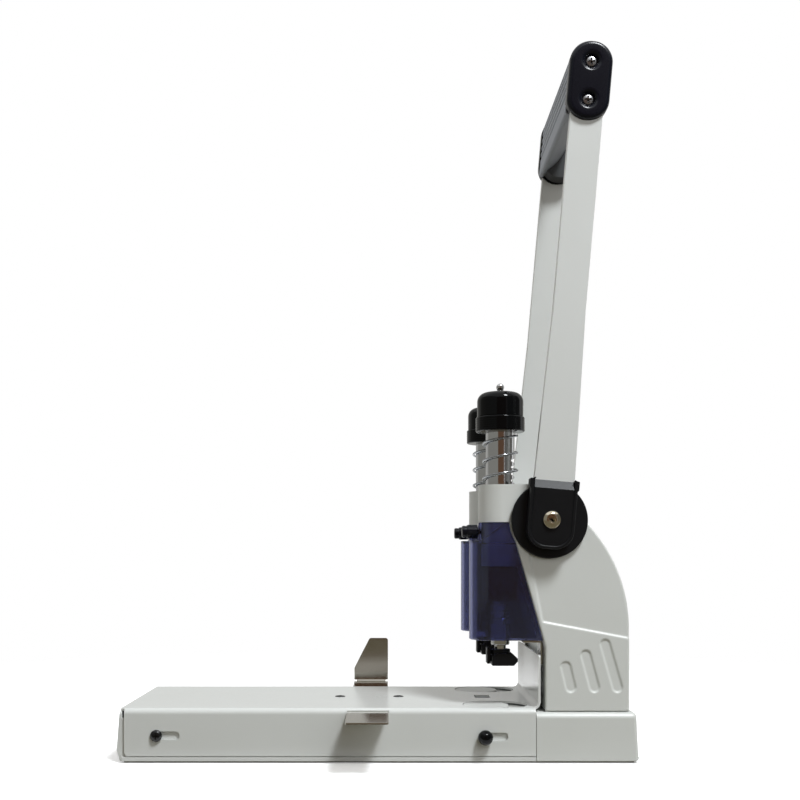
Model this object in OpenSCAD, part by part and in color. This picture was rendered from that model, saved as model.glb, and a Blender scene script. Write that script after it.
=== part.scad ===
// Heavy-duty two-hole lever punch, standing on a long base, at rest with the handle up.
// X runs along the base from the paper side to the column, Y across it, Z up.
// The origin is the middle of the underside of the base.

/* [Base] */
// Length of the base from the pan's end to the back of the plinth
base_l = 359; // [350:1:380]
// Width of the plinth
base_w = 122; // [120:0.5:140]
// Thickness of the rubber mat under the base
mat_t = 1.2; // [0.8:0.1:2]
// How far the mat stays inside the base's outline
mat_inset = 3; // [1:0.5:8]
// Sheet thickness of the table, the pan and the covers
sheet = 1.5; // [1:0.1:2]
// Length of the plinth
plinth_l = 71; // [68:0.5:76]
// Height of the plinth's top over the desk
plinth_h = 34.8; // [32:0.1:35.4]
// Wall of the plinth casting
plinth_wall = 6; // [4:0.5:10]
// How much the plinth's rear face leans in towards its top
plinth_draft = 1.6; // [0:0.1:3]
// Height of the pan's side walls over the desk
pan_h = 31; // [26:0.5:33]
// How far the pan's end wall bulges out near its foot
pan_bulge = 2; // [0.5:0.1:3]
// Height of that bulge over the desk
pan_bulge_z = 8.9; // [6:0.1:14]

/* [Table] */
// Height of the table's upper face over the desk
table_z = 37.6; // [37.4:0.1:41]
// How far each table skirt stays inside the plinth's side
table_inset = 0.5; // [0:0.1:2]
// Outer bend radius of the table sheet
table_bend = 4; // [3:0.5:5]
// Height of the skirts' lower edge over the desk
skirt_z = 4.8; // [3:0.1:8]
// How far the table slides forward to set the paper margin
table_slide = 12.8; // [8:0.1:13.2]
// Distance from the hole centres to the backstop, with the table fully back
margin_max = 24.8; // [24.6:0.1:25.4]
// Height of the backstop over the table
stop_h = 36.4; // [25:0.1:37]
// Height of the slots in the skirts
slot_h = 5.8; // [4.6:0.1:7]
// Distance of the guide screws from the paper end of the base
guide_screw_in = 25.8; // [20:0.1:60]
// Height of the guide screws over the desk
guide_screw_z = 19; // [12:0.1:22]
// How far the clamp knobs lie in front of the punch axes
clamp_reach = 12.7; // [4:0.1:14]
// Height of the clamp knobs over the desk
clamp_z = 18.2; // [12:0.1:18.5]
// Size of the window between the discs, along and across the base
window = [11.5, 14]; // [8:0.5:20]

/* [Paper gauge] */
// Width of the gauge ruler
ruler_w = 28.5; // [20:0.5:34]
// Thickness of the gauge ruler
ruler_t = 1.2; // [0.8:0.1:1.5]
// Distance from the punch axes to the middle of the ruler
ruler_reach = 93.45; // [80:0.05:120]
// Distance of the fin from the middle of the machine
fin_y = 106.2; // [100:0.1:140]
// How far the ruler's plain end stands out on the near side
ruler_out = 48; // [45:0.5:60]
// Height of the fin's top over the table
fin_h = 34.7; // [20:0.1:40]
// Width of the fin at its top
fin_top_w = 15.5; // [10:0.5:20]
// Height over the table where the fin's slanted edge begins
fin_shoulder = 9.4; // [4:0.1:15]
// Length of the channel that guides the ruler
guide_l = 40; // [30:1:60]
// Spacing of the two screws that hold the channel
guide_pitch = 43.5; // [43:0.5:52]

/* [Punches] */
// Spacing of the two holes
hole_pitch = 80; // [76:0.5:82]
// Distance from the column's front to the punch axes
punch_reach = 29.3; // [29:0.1:30]
// Diameter of the sliding quill
quill_d = 20.4; // [20:0.1:21]
// Diameter of the punched hole
pin_d = 5.6; // [5:0.1:6]
// Wall of the hollow pin
pin_wall = 0.7; // [0.5:0.1:1]
// Bore of the quill that takes the chips
chip_bore_d = 9; // [7:0.5:10]
// Height of the foot's sole over the table at rest
throat = 28.1; // [26:0.1:29]
// Diameter of the cutting discs
disc_d = 32; // [28:0.5:33]
// How far the discs' middles lie in front of the punch axes
disc_offset = 10.2; // [8:0.1:11]
// Height of the anvil's top over the desk
anvil_z = 30; // [28:0.5:32]
// How far the anvil reaches in front of the punch axes
anvil_reach = 30.2; // [29:0.1:36]
// Height of the discs' faces below the table
disc_sink = 0.2; // [0.1:0.1:0.5]

/* [Head] */
// Height of the handle's axis over the desk
pivot_z = 167.6; // [166.5:0.1:168.5]
// Module of the rack and the pinions
tooth_module = 1.5; // [1.45:0.01:1.55]
// Number of teeth on each pinion
pinion_teeth = 31; // [31:1:32]
// Angle that the handle turns through
lever_deg = 72; // [60:1:72]
// Face width of the pinions
pinion_w = 10; // [8:0.5:11]
// Diameter of the round towers that guide the quills
tower_d = 31; // [29:0.5:31]
// Height of the towers' tops over the desk
tower_z = 192.7; // [191:0.1:194]
// Height of the towers' lower faces over the desk
brow_z = 166.5; // [166:0.1:167.5]
// Diameter of the lower noses behind the guards
nose_d = 26.8; // [25:0.1:27]
// Height of the noses' lower faces over the desk
nose_z = 152; // [151:0.1:153]
// Height of the joint between the column and the head
head_joint_z = 145; // [143:0.5:147]
// Wall of the head around the pinions
housing_wall = 1.9; // [1.5:0.1:2]
// Diameter of the drive shaft
shaft_d = 16; // [14:0.5:17]
// Wall of the shaft's bushes
bush_wall = 2.5; // [2:0.1:3]
// Thickness of the head's side walls
head_wall = 9; // [8:0.5:10]

/* [Column] */
// Room between each pinion and the head's side wall
pinion_room = 1.5; // [1.5:0.1:3]
// Depth of the column from front to back
column_depth = 58.2; // [57:0.1:59]
// How far the column's back stands in from the back of the base
column_in = 6.3; // [5:0.1:8]
// Height over the desk where the back starts to curve in
back_z = 93; // [88:0.5:98]
// Radius of that curve
back_r = 105; // [100:1:115]
// Height over the desk where the front starts to lean
lean_z = 80; // [76:0.5:84]
// How far the front leans out at the top of the covers
lean_out = 24.3; // [24:0.1:24.6]
// Height of the covers' lower edge over the plinth
cover_rise = 1.5; // [0.5:0.1:3]
// Extra thickness of the lower panel and border on the side covers
panel_step = 1; // [0.5:0.1:1.2]
// Thickness of the front cover and the back cover
shell_t = 2.2; // [1.5:0.1:2.6]
// Wall of the column casting
column_wall = 9; // [7:0.5:12]
// Diameter of the studs between the column and the head
stud_d = 6; // [5:0.5:6.5]
// Diameter of the bolts between the plinth and the column
bolt_d = 8; // [6:0.5:10]

/* [Guards] */
// Outer width of each guard
guard_w = 32; // [31.8:0.1:32.4]
// Wall of each guard
guard_wall = 2.2; // [1.8:0.1:2.2]
// How far the guards reach in front of the punch axes
guard_reach = 22; // [21.2:0.1:22.2]
// Height of the guards' lower edge over the desk
guard_z = 84; // [84:0.5:88]
// Height of the guards' upper edge at the front
guard_brow_z = 154; // [154:0.1:155]
// Diameter of the guard knobs
knob_d = 9.5; // [8:0.1:10]
// Length of the guard knobs
knob_l = 11; // [9:0.1:12]
// Height of the guard knobs over the desk
knob_z = 160; // [159.5:0.1:160.5]
// Diameter of the thumb screws' threads
thread_d = 4; // [3.5:0.1:4.4]

/* [Springs and caps] */
// Height of the collars' lower faces over the desk
collar_z = 230.5; // [229:0.1:234]
// Thickness of the collars
collar_t = 10.5; // [8:0.1:12]
// Diameter of the collars
collar_d = 34.6; // [33:0.1:38]
// Height of the dome caps
dome_h = 19; // [16:0.5:22]
// Diameter of the dome caps
dome_d = 32.6; // [28:0.1:33]
// Wall of the dome caps
dome_wall = 2.5; // [2:0.1:3.5]
// Diameter of the ball knobs on the caps
ball_d = 5.6; // [5:0.1:8]
// Outer diameter of the return springs
return_d = 25.6; // [25:0.1:27]
// Wire of the return springs
return_wire = 1.6; // [1.4:0.1:1.8]
// Turns of the return springs
return_turns = 3; // [3:1:4]
// Outer diameter of the stripper springs
strip_d = 14; // [13.4:0.1:15]
// Wire of the stripper springs
strip_wire = 1.4; // [1.2:0.1:1.5]
// Turns of the stripper springs
strip_turns = 7; // [5:1:8]

/* [Feet] */
// Diameter of the chucks that hold the pins
chuck_d = 21; // [19:0.5:22]
// Length of the chucks
chuck_l = 18; // [17:0.5:19]
// Height of the chucks' lower faces over the desk
chuck_z = 132; // [131:0.1:133]
// Diameter of the skirts under the chucks, round the stripper springs
chuck_skirt_d = 25.2; // [22:0.1:25.6]
// Height of those skirts' lower rims over the desk
chuck_skirt_z = 111; // [105:0.5:125]
// Diameter of the foot sleeves inside the springs
sleeve_d = 9; // [8.6:0.1:9.4]
// Diameter of the foot sleeves where the feet sit on them
neck_d = 8; // [7.6:0.1:8.4]
// Diameter of the spring cups on the foot sleeves
cup_d = 13; // [12:0.1:14.4]
// Height of the cups' lower faces over the desk
cup_z = 80; // [79:0.1:81]
// Length of the cups
cup_l = 15; // [10:0.5:16]
// Thickness of the feet
foot_t = 8.3; // [7:0.1:9]
// Width of the feet across the machine
foot_w = 18; // [14:0.5:22]
// How far the feet reach in front of the punch axes
foot_front = 9.2; // [8:0.1:12]
// How far the feet reach behind the punch axes
foot_back = 11.5; // [10:0.1:11.6]

/* [Handle] */
// Diameter of the hub discs
hub_d = 53; // [48:0.5:53]
// Thickness of the hub discs
hub_t = 3.2; // [2.5:0.1:5]
// Depth of the arm sockets on the hubs
socket_t = 9.5; // [8:0.1:12]
// Width of the arm sockets
socket_w = 32; // [31:0.5:36]
// Reach of the sockets above the axis
socket_up = 27.5; // [24:0.5:34]
// Reach of the sockets below the axis
socket_down = 20; // [19:0.5:24]
// Angle that the handle leans back at rest
arm_lean = 5; // [0:0.05:10]
// Length of the arms above the axis
arm_l = 316; // [290:1:340]
// Length of the arms below the axis
arm_tail = 17.5; // [15:0.5:18]
// Width of the arms at the foot
arm_w0 = 28.4; // [24:0.1:28.4]
// Width of the arms at the top
arm_w1 = 22.4; // [18:0.1:24]
// Heights over the axis between which the arms narrow
arm_taper = [20, 145]; // [10:1:180]
// Thickness of the arms
arm_t = 5.4; // [4:0.1:6]
// Distance from the axis to the middle of the grip
grip_r = 301.4; // [280:0.1:325]
// Height and width of the end caps' outline
cap_size = [54, 29.5]; // [29:0.5:60]
// Height and width of the grip's section
grip_size = [51, 28]; // [24:0.5:56]
// Radius of the grip's hollowed underside
grip_under_r = 37; // [34:0.5:42]
// Grooves along the front of the grip
groove_count = 5; // [2:1:6]
// Depth of those grooves
groove_depth = 1.2; // [0.6:0.1:2]
// Thickness of the end caps
cap_t = 9; // [8:0.1:11]
// Spacing of the two screws in each end cap
cap_screw_pitch = 26.2; // [22:0.1:30]
// Diameter of the pivot screws' heads
pivot_head_d = 12; // [10:0.5:14]

/* [Clearances] */
// Gap between pieces that move past each other
gap = 0.3; // [0.25:0.01:0.35]
// Radial play of a shaft in its bore
run = 0.05; // [0.03:0.01:0.08]
// Play between pieces that are fixed together
fit = 0.1; // [0.05:0.01:0.12]

/* [Hidden] */
$fn = 72;

// Colours
enamel = [0.86, 0.85, 0.83];
black = [0.09, 0.09, 0.1];
steel = [0.72, 0.73, 0.75];
chrome = [0.85, 0.86, 0.88];
brass = [0.8, 0.66, 0.36];
tint = [0.25, 0.3, 0.75, 0.6];
grey = [0.55, 0.55, 0.56];

// Overlap of cutting bodies past the faces that they cut
eps = 1;

// Base and table
base_x0 = -base_l / 2;
base_x1 = base_l / 2;
plinth_x = base_x1 - plinth_l;
column_back = base_x1 - column_in;
column_front = column_back - column_depth;
punch_x = column_front - punch_reach;
floor_z = mat_t + sheet;
table_half = base_w / 2 - table_inset;
table_under = table_z - sheet;
pan_half = table_half - sheet - gap;
anvil_half = pan_half - sheet - gap;
stop_x = punch_x + margin_max;
clamp_x = punch_x - clamp_reach;
guide_screw_x = base_x0 + guide_screw_in;
anvil_x = punch_x - anvil_reach;
punch_y = hole_pitch / 2;
cast_half = punch_y + pinion_w / 2 + pinion_room + head_wall;
guard_front = punch_x - guard_reach;
disc_x = punch_x - disc_offset;
disc_z = table_z - disc_sink;
spigot_d = 8;
spigot_l = 7;
pan_end_z = table_under - 2 * gap;
plinth_roof = 8;

// Paper gauge
ruler_x = punch_x - ruler_reach;
ruler_x0 = ruler_x - ruler_w / 2;
ruler_x1 = ruler_x + ruler_w / 2;
ruler_z1 = table_under - gap;
ruler_z0 = ruler_z1 - ruler_t;
table_screw_d = 4;
table_screw_head = 8;

// Rack, pinions and stroke
pitch_r = tooth_module * pinion_teeth / 2;
rack_x = quill_d / 2 - tooth_module;
tooth_pitch = PI * tooth_module;
pressure = 20;
backlash = 0.3;
dedendum = 1.25 * tooth_module;
pinion_tip = pitch_r + tooth_module;
pivot_x = punch_x + rack_x + pitch_r;
stroke = pitch_r * lever_deg * PI / 180;
tip_z = disc_z + gap + stroke;
sole_z = table_z + throat;
foot_rise = stroke - (throat - gap);
housing_r = pinion_tip + housing_wall + 2 * gap;

// Column outline
cover_z = plinth_h + cover_rise;
cover_top = brow_z;
lean_rate = lean_out / (cover_top - lean_z);
function front_x(z) = column_front - max(0, z - lean_z) * lean_rate;
function back_x(z) = column_back - back_r + sqrt(pow(back_r, 2) - pow(max(0, z - back_z), 2));
back_steps = 8;
// Points up the back between two heights, moved in by an inset
function back_line(z0, z1, inset) =
    concat([[column_back - inset, z0]],
        [for (i = [0 : back_steps])
            let (z = back_z + (z1 - back_z) * i / back_steps) [back_x(z) - inset, z]]);
cover_bevel = [14, 3];
back_top = cover_top - cover_bevel[1];
cover_out = cast_half + sheet + panel_step;

// Handle
hub_y = cast_half + sheet + gap;
arm_y = hub_y + hub_t + fit;
arm_out = arm_y + arm_t;
socket_out = hub_y + hub_t + socket_t;
square = 11;
pivot_screw_d = 8;
cap_y = arm_y;
cap_out = cap_y + cap_t;
cap_screw_d = 4;
cap_screw_head = 7;
cap_screw_sink = 2;

// Punch stack
quill_z0 = chuck_z + chuck_l;
quill_top = collar_z + collar_t - 2;
quill_spigot_d = 12;
quill_spigot_l = 4;
pin_r = pin_d / 2;
pin_top = quill_z0 - quill_spigot_l - fit;
sleeve_bore = pin_r + run + 0.03;
sleeve_top = pin_top - 5;
chuck_step = pin_top - 3;
foot_neck_z = sole_z + 2;
foot_neck_rise = 3;
foot_boss_d = neck_d + 6;
strip_z0 = cup_z + cup_l;

// A point list with each corner turned into an arc of the given radius
function unit(v) = v / norm(v);
function corner_arc(p, q, s, r, n) =
    let (u = unit(p - q), v = unit(s - q))
    let (half = acos(max(-1, min(1, u * v))) / 2)
    let (centre = q + unit(u + v) * r / sin(half))
    let (a = q + u * r / tan(half) - centre)
    let (b = q + v * r / tan(half) - centre)
    let (a0 = atan2(a[1], a[0]))
    let (turn = atan2(a[0] * b[1] - a[1] * b[0], a * b))
    [for (i = [0 : n]) centre + r * [cos(a0 + turn * i / n), sin(a0 + turn * i / n)]];
function rounded(points, radii, n = 8) =
    let (m = len(points))
    [for (i = [0 : m - 1])
        each radii[i] <= 0 ? [points[i]]
            : corner_arc(points[(i + m - 1) % m], points[i], points[(i + 1) % m], radii[i], n)];
function box_points(x0, x1, z0, z1) = [[x0, z0], [x1, z0], [x1, z1], [x0, z1]];

// An outline in X and Z, carried along Y
module along_y(y0, y1) {
    translate([0, y1, 0])
        rotate([90, 0, 0])
            linear_extrude(y1 - y0)
                children();
}

// An outline in Y and Z, carried along X
module along_x(x0, x1) {
    translate([x0, 0, 0])
        rotate([90, 0, 90])
            linear_extrude(x1 - x0)
                children();
}

module block(x0, x1, y0, y1, z0, z1) {
    translate([x0, y0, z0])
        cube([x1 - x0, y1 - y0, z1 - z0]);
}

// A round bar along Y at a place in X and Z
module bar_y(x, z, d, y0, y1) {
    translate([x, y1, z])
        rotate([90, 0, 0])
            cylinder(d = d, h = y1 - y0);
}

// A round bar along X at a place in Y and Z
module bar_x(y, z, d, x0, x1) {
    translate([x0, y, z])
        rotate([0, 90, 0])
            cylinder(d = d, h = x1 - x0);
}

module bar_z(x, y, d, z0, z1) {
    translate([x, y, z0])
        cylinder(d = d, h = z1 - z0);
}

// Pieces are drawn on the far side of the machine; near() gives their mirror image
module near() {
    mirror([0, 1, 0])
        children();
}

module both_sides() {
    children();
    near()
        children();
}

// Base
module base_mat() {
    color(black)
        block(base_x0 + mat_inset, base_x1 - mat_inset,
            mat_inset - base_w / 2, base_w / 2 - mat_inset, 0, mat_t);
}

pan_screw_d = 5;
pan_screw_in = 8;
pan_screw_x = [anvil_x + pan_screw_in, plinth_x - pan_screw_in];
pan_screw_y = 24;
pan_screw_l = 14;

module pan_screw_spots() {
    for (x = pan_screw_x)
        for (side = [-1, 1])
            translate([x, side * pan_screw_y, mat_t])
                children();
}

module pan_end_section() {
    r = table_bend - sheet;
    polygon(rounded([[-pan_half, mat_t], [pan_half, mat_t], [pan_half, pan_end_z],
        [-pan_half, pan_end_z]], [0, 0, r, r]));
}

module base_pan() {
    pan_end = base_x0 + sheet;
    color(enamel)
        difference() {
            union() {
                block(pan_end, plinth_x, -pan_half, pan_half, mat_t, pan_h);
                block(pan_end, plinth_x, gap - table_half, table_half - gap, mat_t, skirt_z - 2 * gap);
                intersection() {
                    along_y(-pan_half, pan_half)
                        polygon([[base_x0, mat_t], [pan_end, mat_t], [pan_end, pan_end_z],
                            [base_x0, pan_end_z], [base_x0 - pan_bulge, pan_bulge_z]]);
                    along_x(base_x0 - pan_bulge - eps, pan_end + eps)
                        pan_end_section();
                }
            }
            block(pan_end, plinth_x + eps, sheet - pan_half, pan_half - sheet, floor_z, pan_h + eps);
            bar_y(guide_screw_x, guide_screw_z, thread_d + 2 * fit, -base_w, base_w);
            bar_y(clamp_x, clamp_z, thread_d + 4 * gap, -base_w, base_w);
            pan_screw_spots()
                translate([0, 0, -eps])
                    cylinder(d = pan_screw_d + 2 * fit, h = sheet + 2 * eps);
        }
}

module pan_screws() {
    color(steel)
        pan_screw_spots()
            cylinder(d = pan_screw_d, h = pan_screw_l);
}

column_bolt_in = 15.5;
column_bolt_x = [column_front + column_bolt_in, column_back - column_bolt_in];
column_bolt_y = 36;
column_bolt_l = 22;
bolt_head_d = 13;
bolt_head_t = 5;

module column_bolt_spots() {
    for (x = column_bolt_x)
        for (side = [-1, 1])
            translate([x, side * column_bolt_y, plinth_h - plinth_roof])
                children();
}

// Raised pad on the anvil, with a pocket for each cutting disc
pad_over = 14;

module bed_casting() {
    plinth_top = base_x1 - plinth_draft;
    pad_half = punch_y + pad_over;
    color(enamel)
        difference() {
            union() {
                along_y(-base_w / 2, base_w / 2)
                    polygon(rounded([[plinth_x, mat_t], [base_x1, mat_t], [plinth_top, plinth_h],
                        [plinth_x, plinth_h]], [0, 4, 2.5, 0]));
                block(anvil_x, plinth_x + eps, -anvil_half, anvil_half, floor_z, anvil_z);
                block(anvil_x, plinth_x + eps, -pad_half, pad_half, anvil_z - eps, plinth_h);
            }
            block(plinth_x + plinth_wall, plinth_top - plinth_wall, plinth_wall - base_w / 2,
                base_w / 2 - plinth_wall, mat_t - eps, plinth_h - plinth_roof);
            both_sides() {
                bar_z(disc_x, punch_y, disc_d + 4 * gap, anvil_z, plinth_h + eps);
                bar_z(disc_x, punch_y, spigot_d + 2 * run, anvil_z - spigot_l - fit, anvil_z + eps);
                bar_y(clamp_x, clamp_z, thread_d + 2 * run, clamp_end - eps, anvil_half + eps);
            }
            pan_screw_spots()
                cylinder(d = pan_screw_d + 2 * fit, h = pan_screw_l + fit);
            column_bolt_spots()
                translate([0, 0, -eps])
                    cylinder(d = bolt_d + 2 * fit, h = plinth_roof + 2 * eps);
        }
}

module column_bolts() {
    color(steel)
        column_bolt_spots()
            union() {
                cylinder(d = bolt_d, h = column_bolt_l);
                translate([0, 0, -bolt_head_t])
                    cylinder(d = bolt_head_d, h = bolt_head_t, $fn = 6);
            }
}

// Sliding table with its upturned backstop
module table_section(half, z1, bend) {
    polygon(rounded([[-half, skirt_z], [-half, z1], [half, z1], [half, skirt_z]], [0, bend, bend, 0]));
}

module disc_opening(d) {
    translate([disc_x, 0])
        circle(d = d);
    translate([disc_x + table_slide, 0])
        circle(d = d);
    translate([disc_x, -d / 2])
        square([table_slide, d]);
}

module skirt_slot(x, z) {
    along_y(-base_w, base_w) {
        translate([x, z])
            circle(d = slot_h);
        translate([x + table_slide + gap, z])
            circle(d = slot_h);
        translate([x, z - slot_h / 2])
            square([table_slide + gap, slot_h]);
    }
}

// How far the pan's end shows beyond the table and beyond the skirts
end_show = [0.8, 3.5];
table_end = base_x0 + end_show[0];
skirt_end = base_x0 + end_show[1];
stop_land = 2;
stop_root = stop_x - table_bend - sheet - stop_land;
slit = [9, 3.2];
slit_shift = 9.3;
window_shift = 1;
guide_screw_spots = [ruler_x - guide_pitch / 2, ruler_x + guide_pitch / 2];

module countersunk_screw(play, length) {
    r = table_screw_d / 2 + play;
    head_r = table_screw_head / 2 + play;
    translate([0, 0, table_z - length])
        cylinder(r = r, h = length);
    translate([0, 0, table_z - sheet])
        cylinder(r1 = r, r2 = head_r, h = sheet);
}

module table_cover() {
    stop_half = table_half - table_bend;
    skirt_back = plinth_x - gap;
    color(enamel)
        difference() {
            union() {
                difference() {
                    along_x(table_end, skirt_back)
                        table_section(table_half, table_z, table_bend);
                    along_x(table_end - eps, skirt_back + eps)
                        table_section(table_half - sheet, table_under, table_bend - sheet);
                    block(stop_root, base_x1, -stop_half, stop_half, floor_z, table_z + eps);
                }
                along_y(-stop_half, stop_half)
                    polygon(rounded([[stop_root - eps, table_under], [stop_x + sheet, table_under],
                        [stop_x + sheet, table_z + stop_h], [stop_x, table_z + stop_h],
                        [stop_x, table_z], [stop_root - eps, table_z]],
                        [0, table_bend + sheet, 0, 0, table_bend, 0]));
            }
            along_x(table_end - eps, skirt_end)
                polygon(box_points(-base_w, base_w, 0, table_under));
            both_sides()
                translate([0, punch_y, 0])
                    linear_extrude(table_z + eps)
                        disc_opening(disc_d + 4 * gap);
            translate([disc_x + window_shift, 0, table_z / 2])
                linear_extrude(table_z)
                    square(window, center = true);
            translate([ruler_x + slit_shift, 0, table_z / 2])
                linear_extrude(table_z)
                    square(slit, center = true);
            for (x = guide_screw_spots)
                translate([x, 0, 0])
                    countersunk_screw(fit, sheet + eps);
            skirt_slot(guide_screw_x, guide_screw_z);
            skirt_slot(clamp_x, clamp_z);
            block(ruler_x0 - gap, ruler_x1 + gap, -base_w, base_w, ruler_z0 - gap, table_under);
        }
}

guide_t = 1.5;
guide_wing = 6;
table_screw_l = 9;

module ruler_guide() {
    x0 = ruler_x0 - gap;
    x1 = ruler_x1 + gap;
    wing0 = guide_screw_spots[0] - guide_wing;
    wing1 = guide_screw_spots[1] + guide_wing;
    seat = ruler_z0 - gap;
    color(steel)
        difference() {
            along_y(-guide_l / 2, guide_l / 2)
                polygon([[wing0, table_under], [wing0, table_under - guide_t],
                    [x0 - guide_t, table_under - guide_t], [x0 - guide_t, seat - guide_t],
                    [x1 + guide_t, seat - guide_t], [x1 + guide_t, table_under - guide_t],
                    [wing1, table_under - guide_t], [wing1, table_under],
                    [x1, table_under], [x1, seat], [x0, seat], [x0, table_under]]);
            for (x = guide_screw_spots)
                bar_z(x, 0, table_screw_d + 2 * fit, seat - eps, table_z);
        }
}

module table_screws() {
    color(steel)
        for (x = guide_screw_spots)
            translate([x, 0, 0])
                countersunk_screw(0, table_screw_l);
}

fin_notch = 2.1;

module gauge_ruler() {
    color(chrome) {
        union() {
            block(ruler_x0, ruler_x1, -base_w / 2 - ruler_out, fin_y, ruler_z0, ruler_z1);
            along_y(fin_y - ruler_t, fin_y)
                polygon([[ruler_x0 + fin_notch, ruler_z0], [ruler_x1 - fin_notch, ruler_z0],
                    [ruler_x1 - fin_notch, table_z], [ruler_x1, table_z], [ruler_x1, table_z + fin_h],
                    [ruler_x1 - fin_top_w, table_z + fin_h], [ruler_x0, table_z + fin_shoulder],
                    [ruler_x0, table_z], [ruler_x0 + fin_notch, table_z]]);
        }
    }
}

guide_head_d = 8.2;
guide_head_t = 2.8;
thread_l = 8;

module guide_screws() {
    y = table_half + gap;
    color(black)
        both_sides()
            union() {
                bar_y(guide_screw_x, guide_screw_z, thread_d, y - thread_l, y + eps);
                bar_y(guide_screw_x, guide_screw_z, guide_head_d, y, y + guide_head_t);
            }
}

clamp_knob_d = 10.4;
clamp_rise = 3.6;
clamp_thread_l = 13;
clamp_end = table_half + gap - clamp_thread_l;

module clamp_knob() {
    y = table_half + gap;
    color(black)
        union() {
            bar_y(clamp_x, clamp_z, thread_d, clamp_end, y + eps);
            intersection() {
                translate([clamp_x, y + clamp_rise, clamp_z])
                    sphere(d = clamp_knob_d);
                block(clamp_x - clamp_knob_d, clamp_x + clamp_knob_d, y, y + clamp_knob_d, 0, table_z);
            }
        }
}

module near_clamp_knob() {
    near()
        clamp_knob();
}

module far_clamp_knob() {
    clamp_knob();
}

module cutting_disc() {
    color(enamel)
        translate([disc_x, punch_y, 0])
            union() {
                translate([0, 0, anvil_z + fit])
                    cylinder(d = disc_d, h = disc_z - anvil_z - fit);
                translate([0, 0, anvil_z - spigot_l])
                    cylinder(d = spigot_d, h = spigot_l + eps);
            }
}

module near_cutting_disc() {
    near()
        cutting_disc();
}

module far_cutting_disc() {
    cutting_disc();
}

// Column
module column_outline(inset, low, high) {
    polygon(concat([[column_front + inset, low]], back_line(low, high, inset),
        [[front_x(high) + inset, high], [column_front + inset, lean_z]]));
}

head_stud_in = [11, 14];
head_stud_x = [pivot_x - head_stud_in[0], pivot_x + head_stud_in[1]];
head_stud_y = cast_half - head_wall / 2;
head_stud_l = 16;

module head_stud_spots() {
    for (x = head_stud_x)
        for (side = [-1, 1])
            translate([x, side * head_stud_y, head_joint_z])
                children();
}

module column_casting() {
    inner = cast_half - head_wall;
    color(grey)
        difference() {
            along_y(-cast_half, cast_half)
                column_outline(shell_t + 2 * fit, plinth_h, head_joint_z);
            along_y(-inner, inner)
                column_outline(shell_t + column_wall, plinth_h + column_wall, head_joint_z + eps);
            bar_y(pivot_x, pivot_z, 2 * (pinion_tip + 2 * gap), -inner, inner);
            column_bolt_spots()
                cylinder(d = bolt_d + 2 * fit, h = column_bolt_l + fit);
            head_stud_spots()
                translate([0, 0, -head_stud_l / 2 - fit])
                    cylinder(d = stud_d + 2 * fit, h = head_stud_l);
        }
}

module head_studs() {
    color(steel)
        head_stud_spots()
            translate([0, 0, -head_stud_l / 2])
                cylinder(d = stud_d, h = head_stud_l);
}

module cover_outline() {
    back = back_line(cover_z, back_top, 0);
    points = concat([[front_x(cover_top), cover_top], [column_front, lean_z], [column_front, cover_z]],
        back, [[back_x(back_top) - cover_bevel[0], cover_top]]);
    curve = [for (i = [3 : len(back)]) 0];
    polygon(rounded(points, concat([2, 12, 1, 1], curve, [6, 6])));
}

// The upper panel lies lower than the border along the front edge and the lower panel
border_w = 7;
ledge_z = [97, 86];

module upper_panel() {
    border = front_x(cover_top) + border_w;
    polygon([[column_front, ledge_z[0]], [column_back + eps, ledge_z[1]],
        [column_back + eps, cover_top + eps], [border, cover_top + eps], [border, cover_top]]);
}

// Three slanted hollows, level at their lower ends and taller towards the back
vent_in = [17.6, 34, 49.9];
vent_h = [21, 29, 36.5];
vent_lean = [3.5, 6, 8.5];
vent_w = 6.8;
vent_z = 48.6;
vent_depth = 0.9;
vent_r = 3.2;

module vents() {
    for (i = [0 : len(vent_in) - 1])
        translate([column_front + vent_in[i], vent_z])
            polygon(rounded([[vent_w / 2, 0], [vent_w / 2 - vent_lean[i], vent_h[i]],
                [-vent_w / 2 - vent_lean[i], vent_h[i]], [-vent_w / 2, 0]],
                [vent_r, vent_r, vent_r, vent_r]));
}

module side_cover() {
    color(enamel)
        difference() {
            along_y(cast_half, cover_out)
                cover_outline();
            along_y(cast_half + sheet, cover_out + eps)
                upper_panel();
            along_y(cover_out - vent_depth, cover_out + eps)
                vents();
            bar_y(pivot_x, pivot_z, hub_d + 4 * gap, cast_half + sheet, cover_out + eps);
            bar_y(pivot_x, pivot_z, shaft_d + 4 * gap, cast_half - eps, cover_out + eps);
        }
}

module near_side_cover() {
    near()
        side_cover();
}

module far_side_cover() {
    side_cover();
}

module back_cover() {
    inner = back_line(cover_z, back_top, shell_t);
    color(enamel)
        difference() {
            along_y(-cast_half, cast_half)
                polygon(concat(back_line(cover_z, back_top, 0),
                    [for (i = [len(inner) - 1 : -1 : 0]) inner[i]]));
            bar_y(pivot_x, pivot_z, 2 * (housing_r + fit), -base_w, base_w);
        }
}

front_lap = 4;
front_top = head_joint_z + front_lap;

module front_cover() {
    color(enamel)
        difference() {
            along_y(-cast_half, cast_half)
                polygon([[column_front, cover_z], [column_front + shell_t, cover_z],
                    [column_front + shell_t, lean_z], [front_x(front_top) + shell_t, front_top],
                    [front_x(front_top), front_top], [column_front, lean_z]]);
            bar_y(pivot_x, pivot_z, 2 * (housing_r + fit), -base_w, base_w);
            both_sides()
                bar_z(punch_x, punch_y, max(chuck_d, quill_d) + 4 * gap, lean_z, front_top + eps);
        }
}

bracket_t = 1.9;
bracket_w = 16;
bracket_reach = 14;
bracket_drop = 17;

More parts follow.
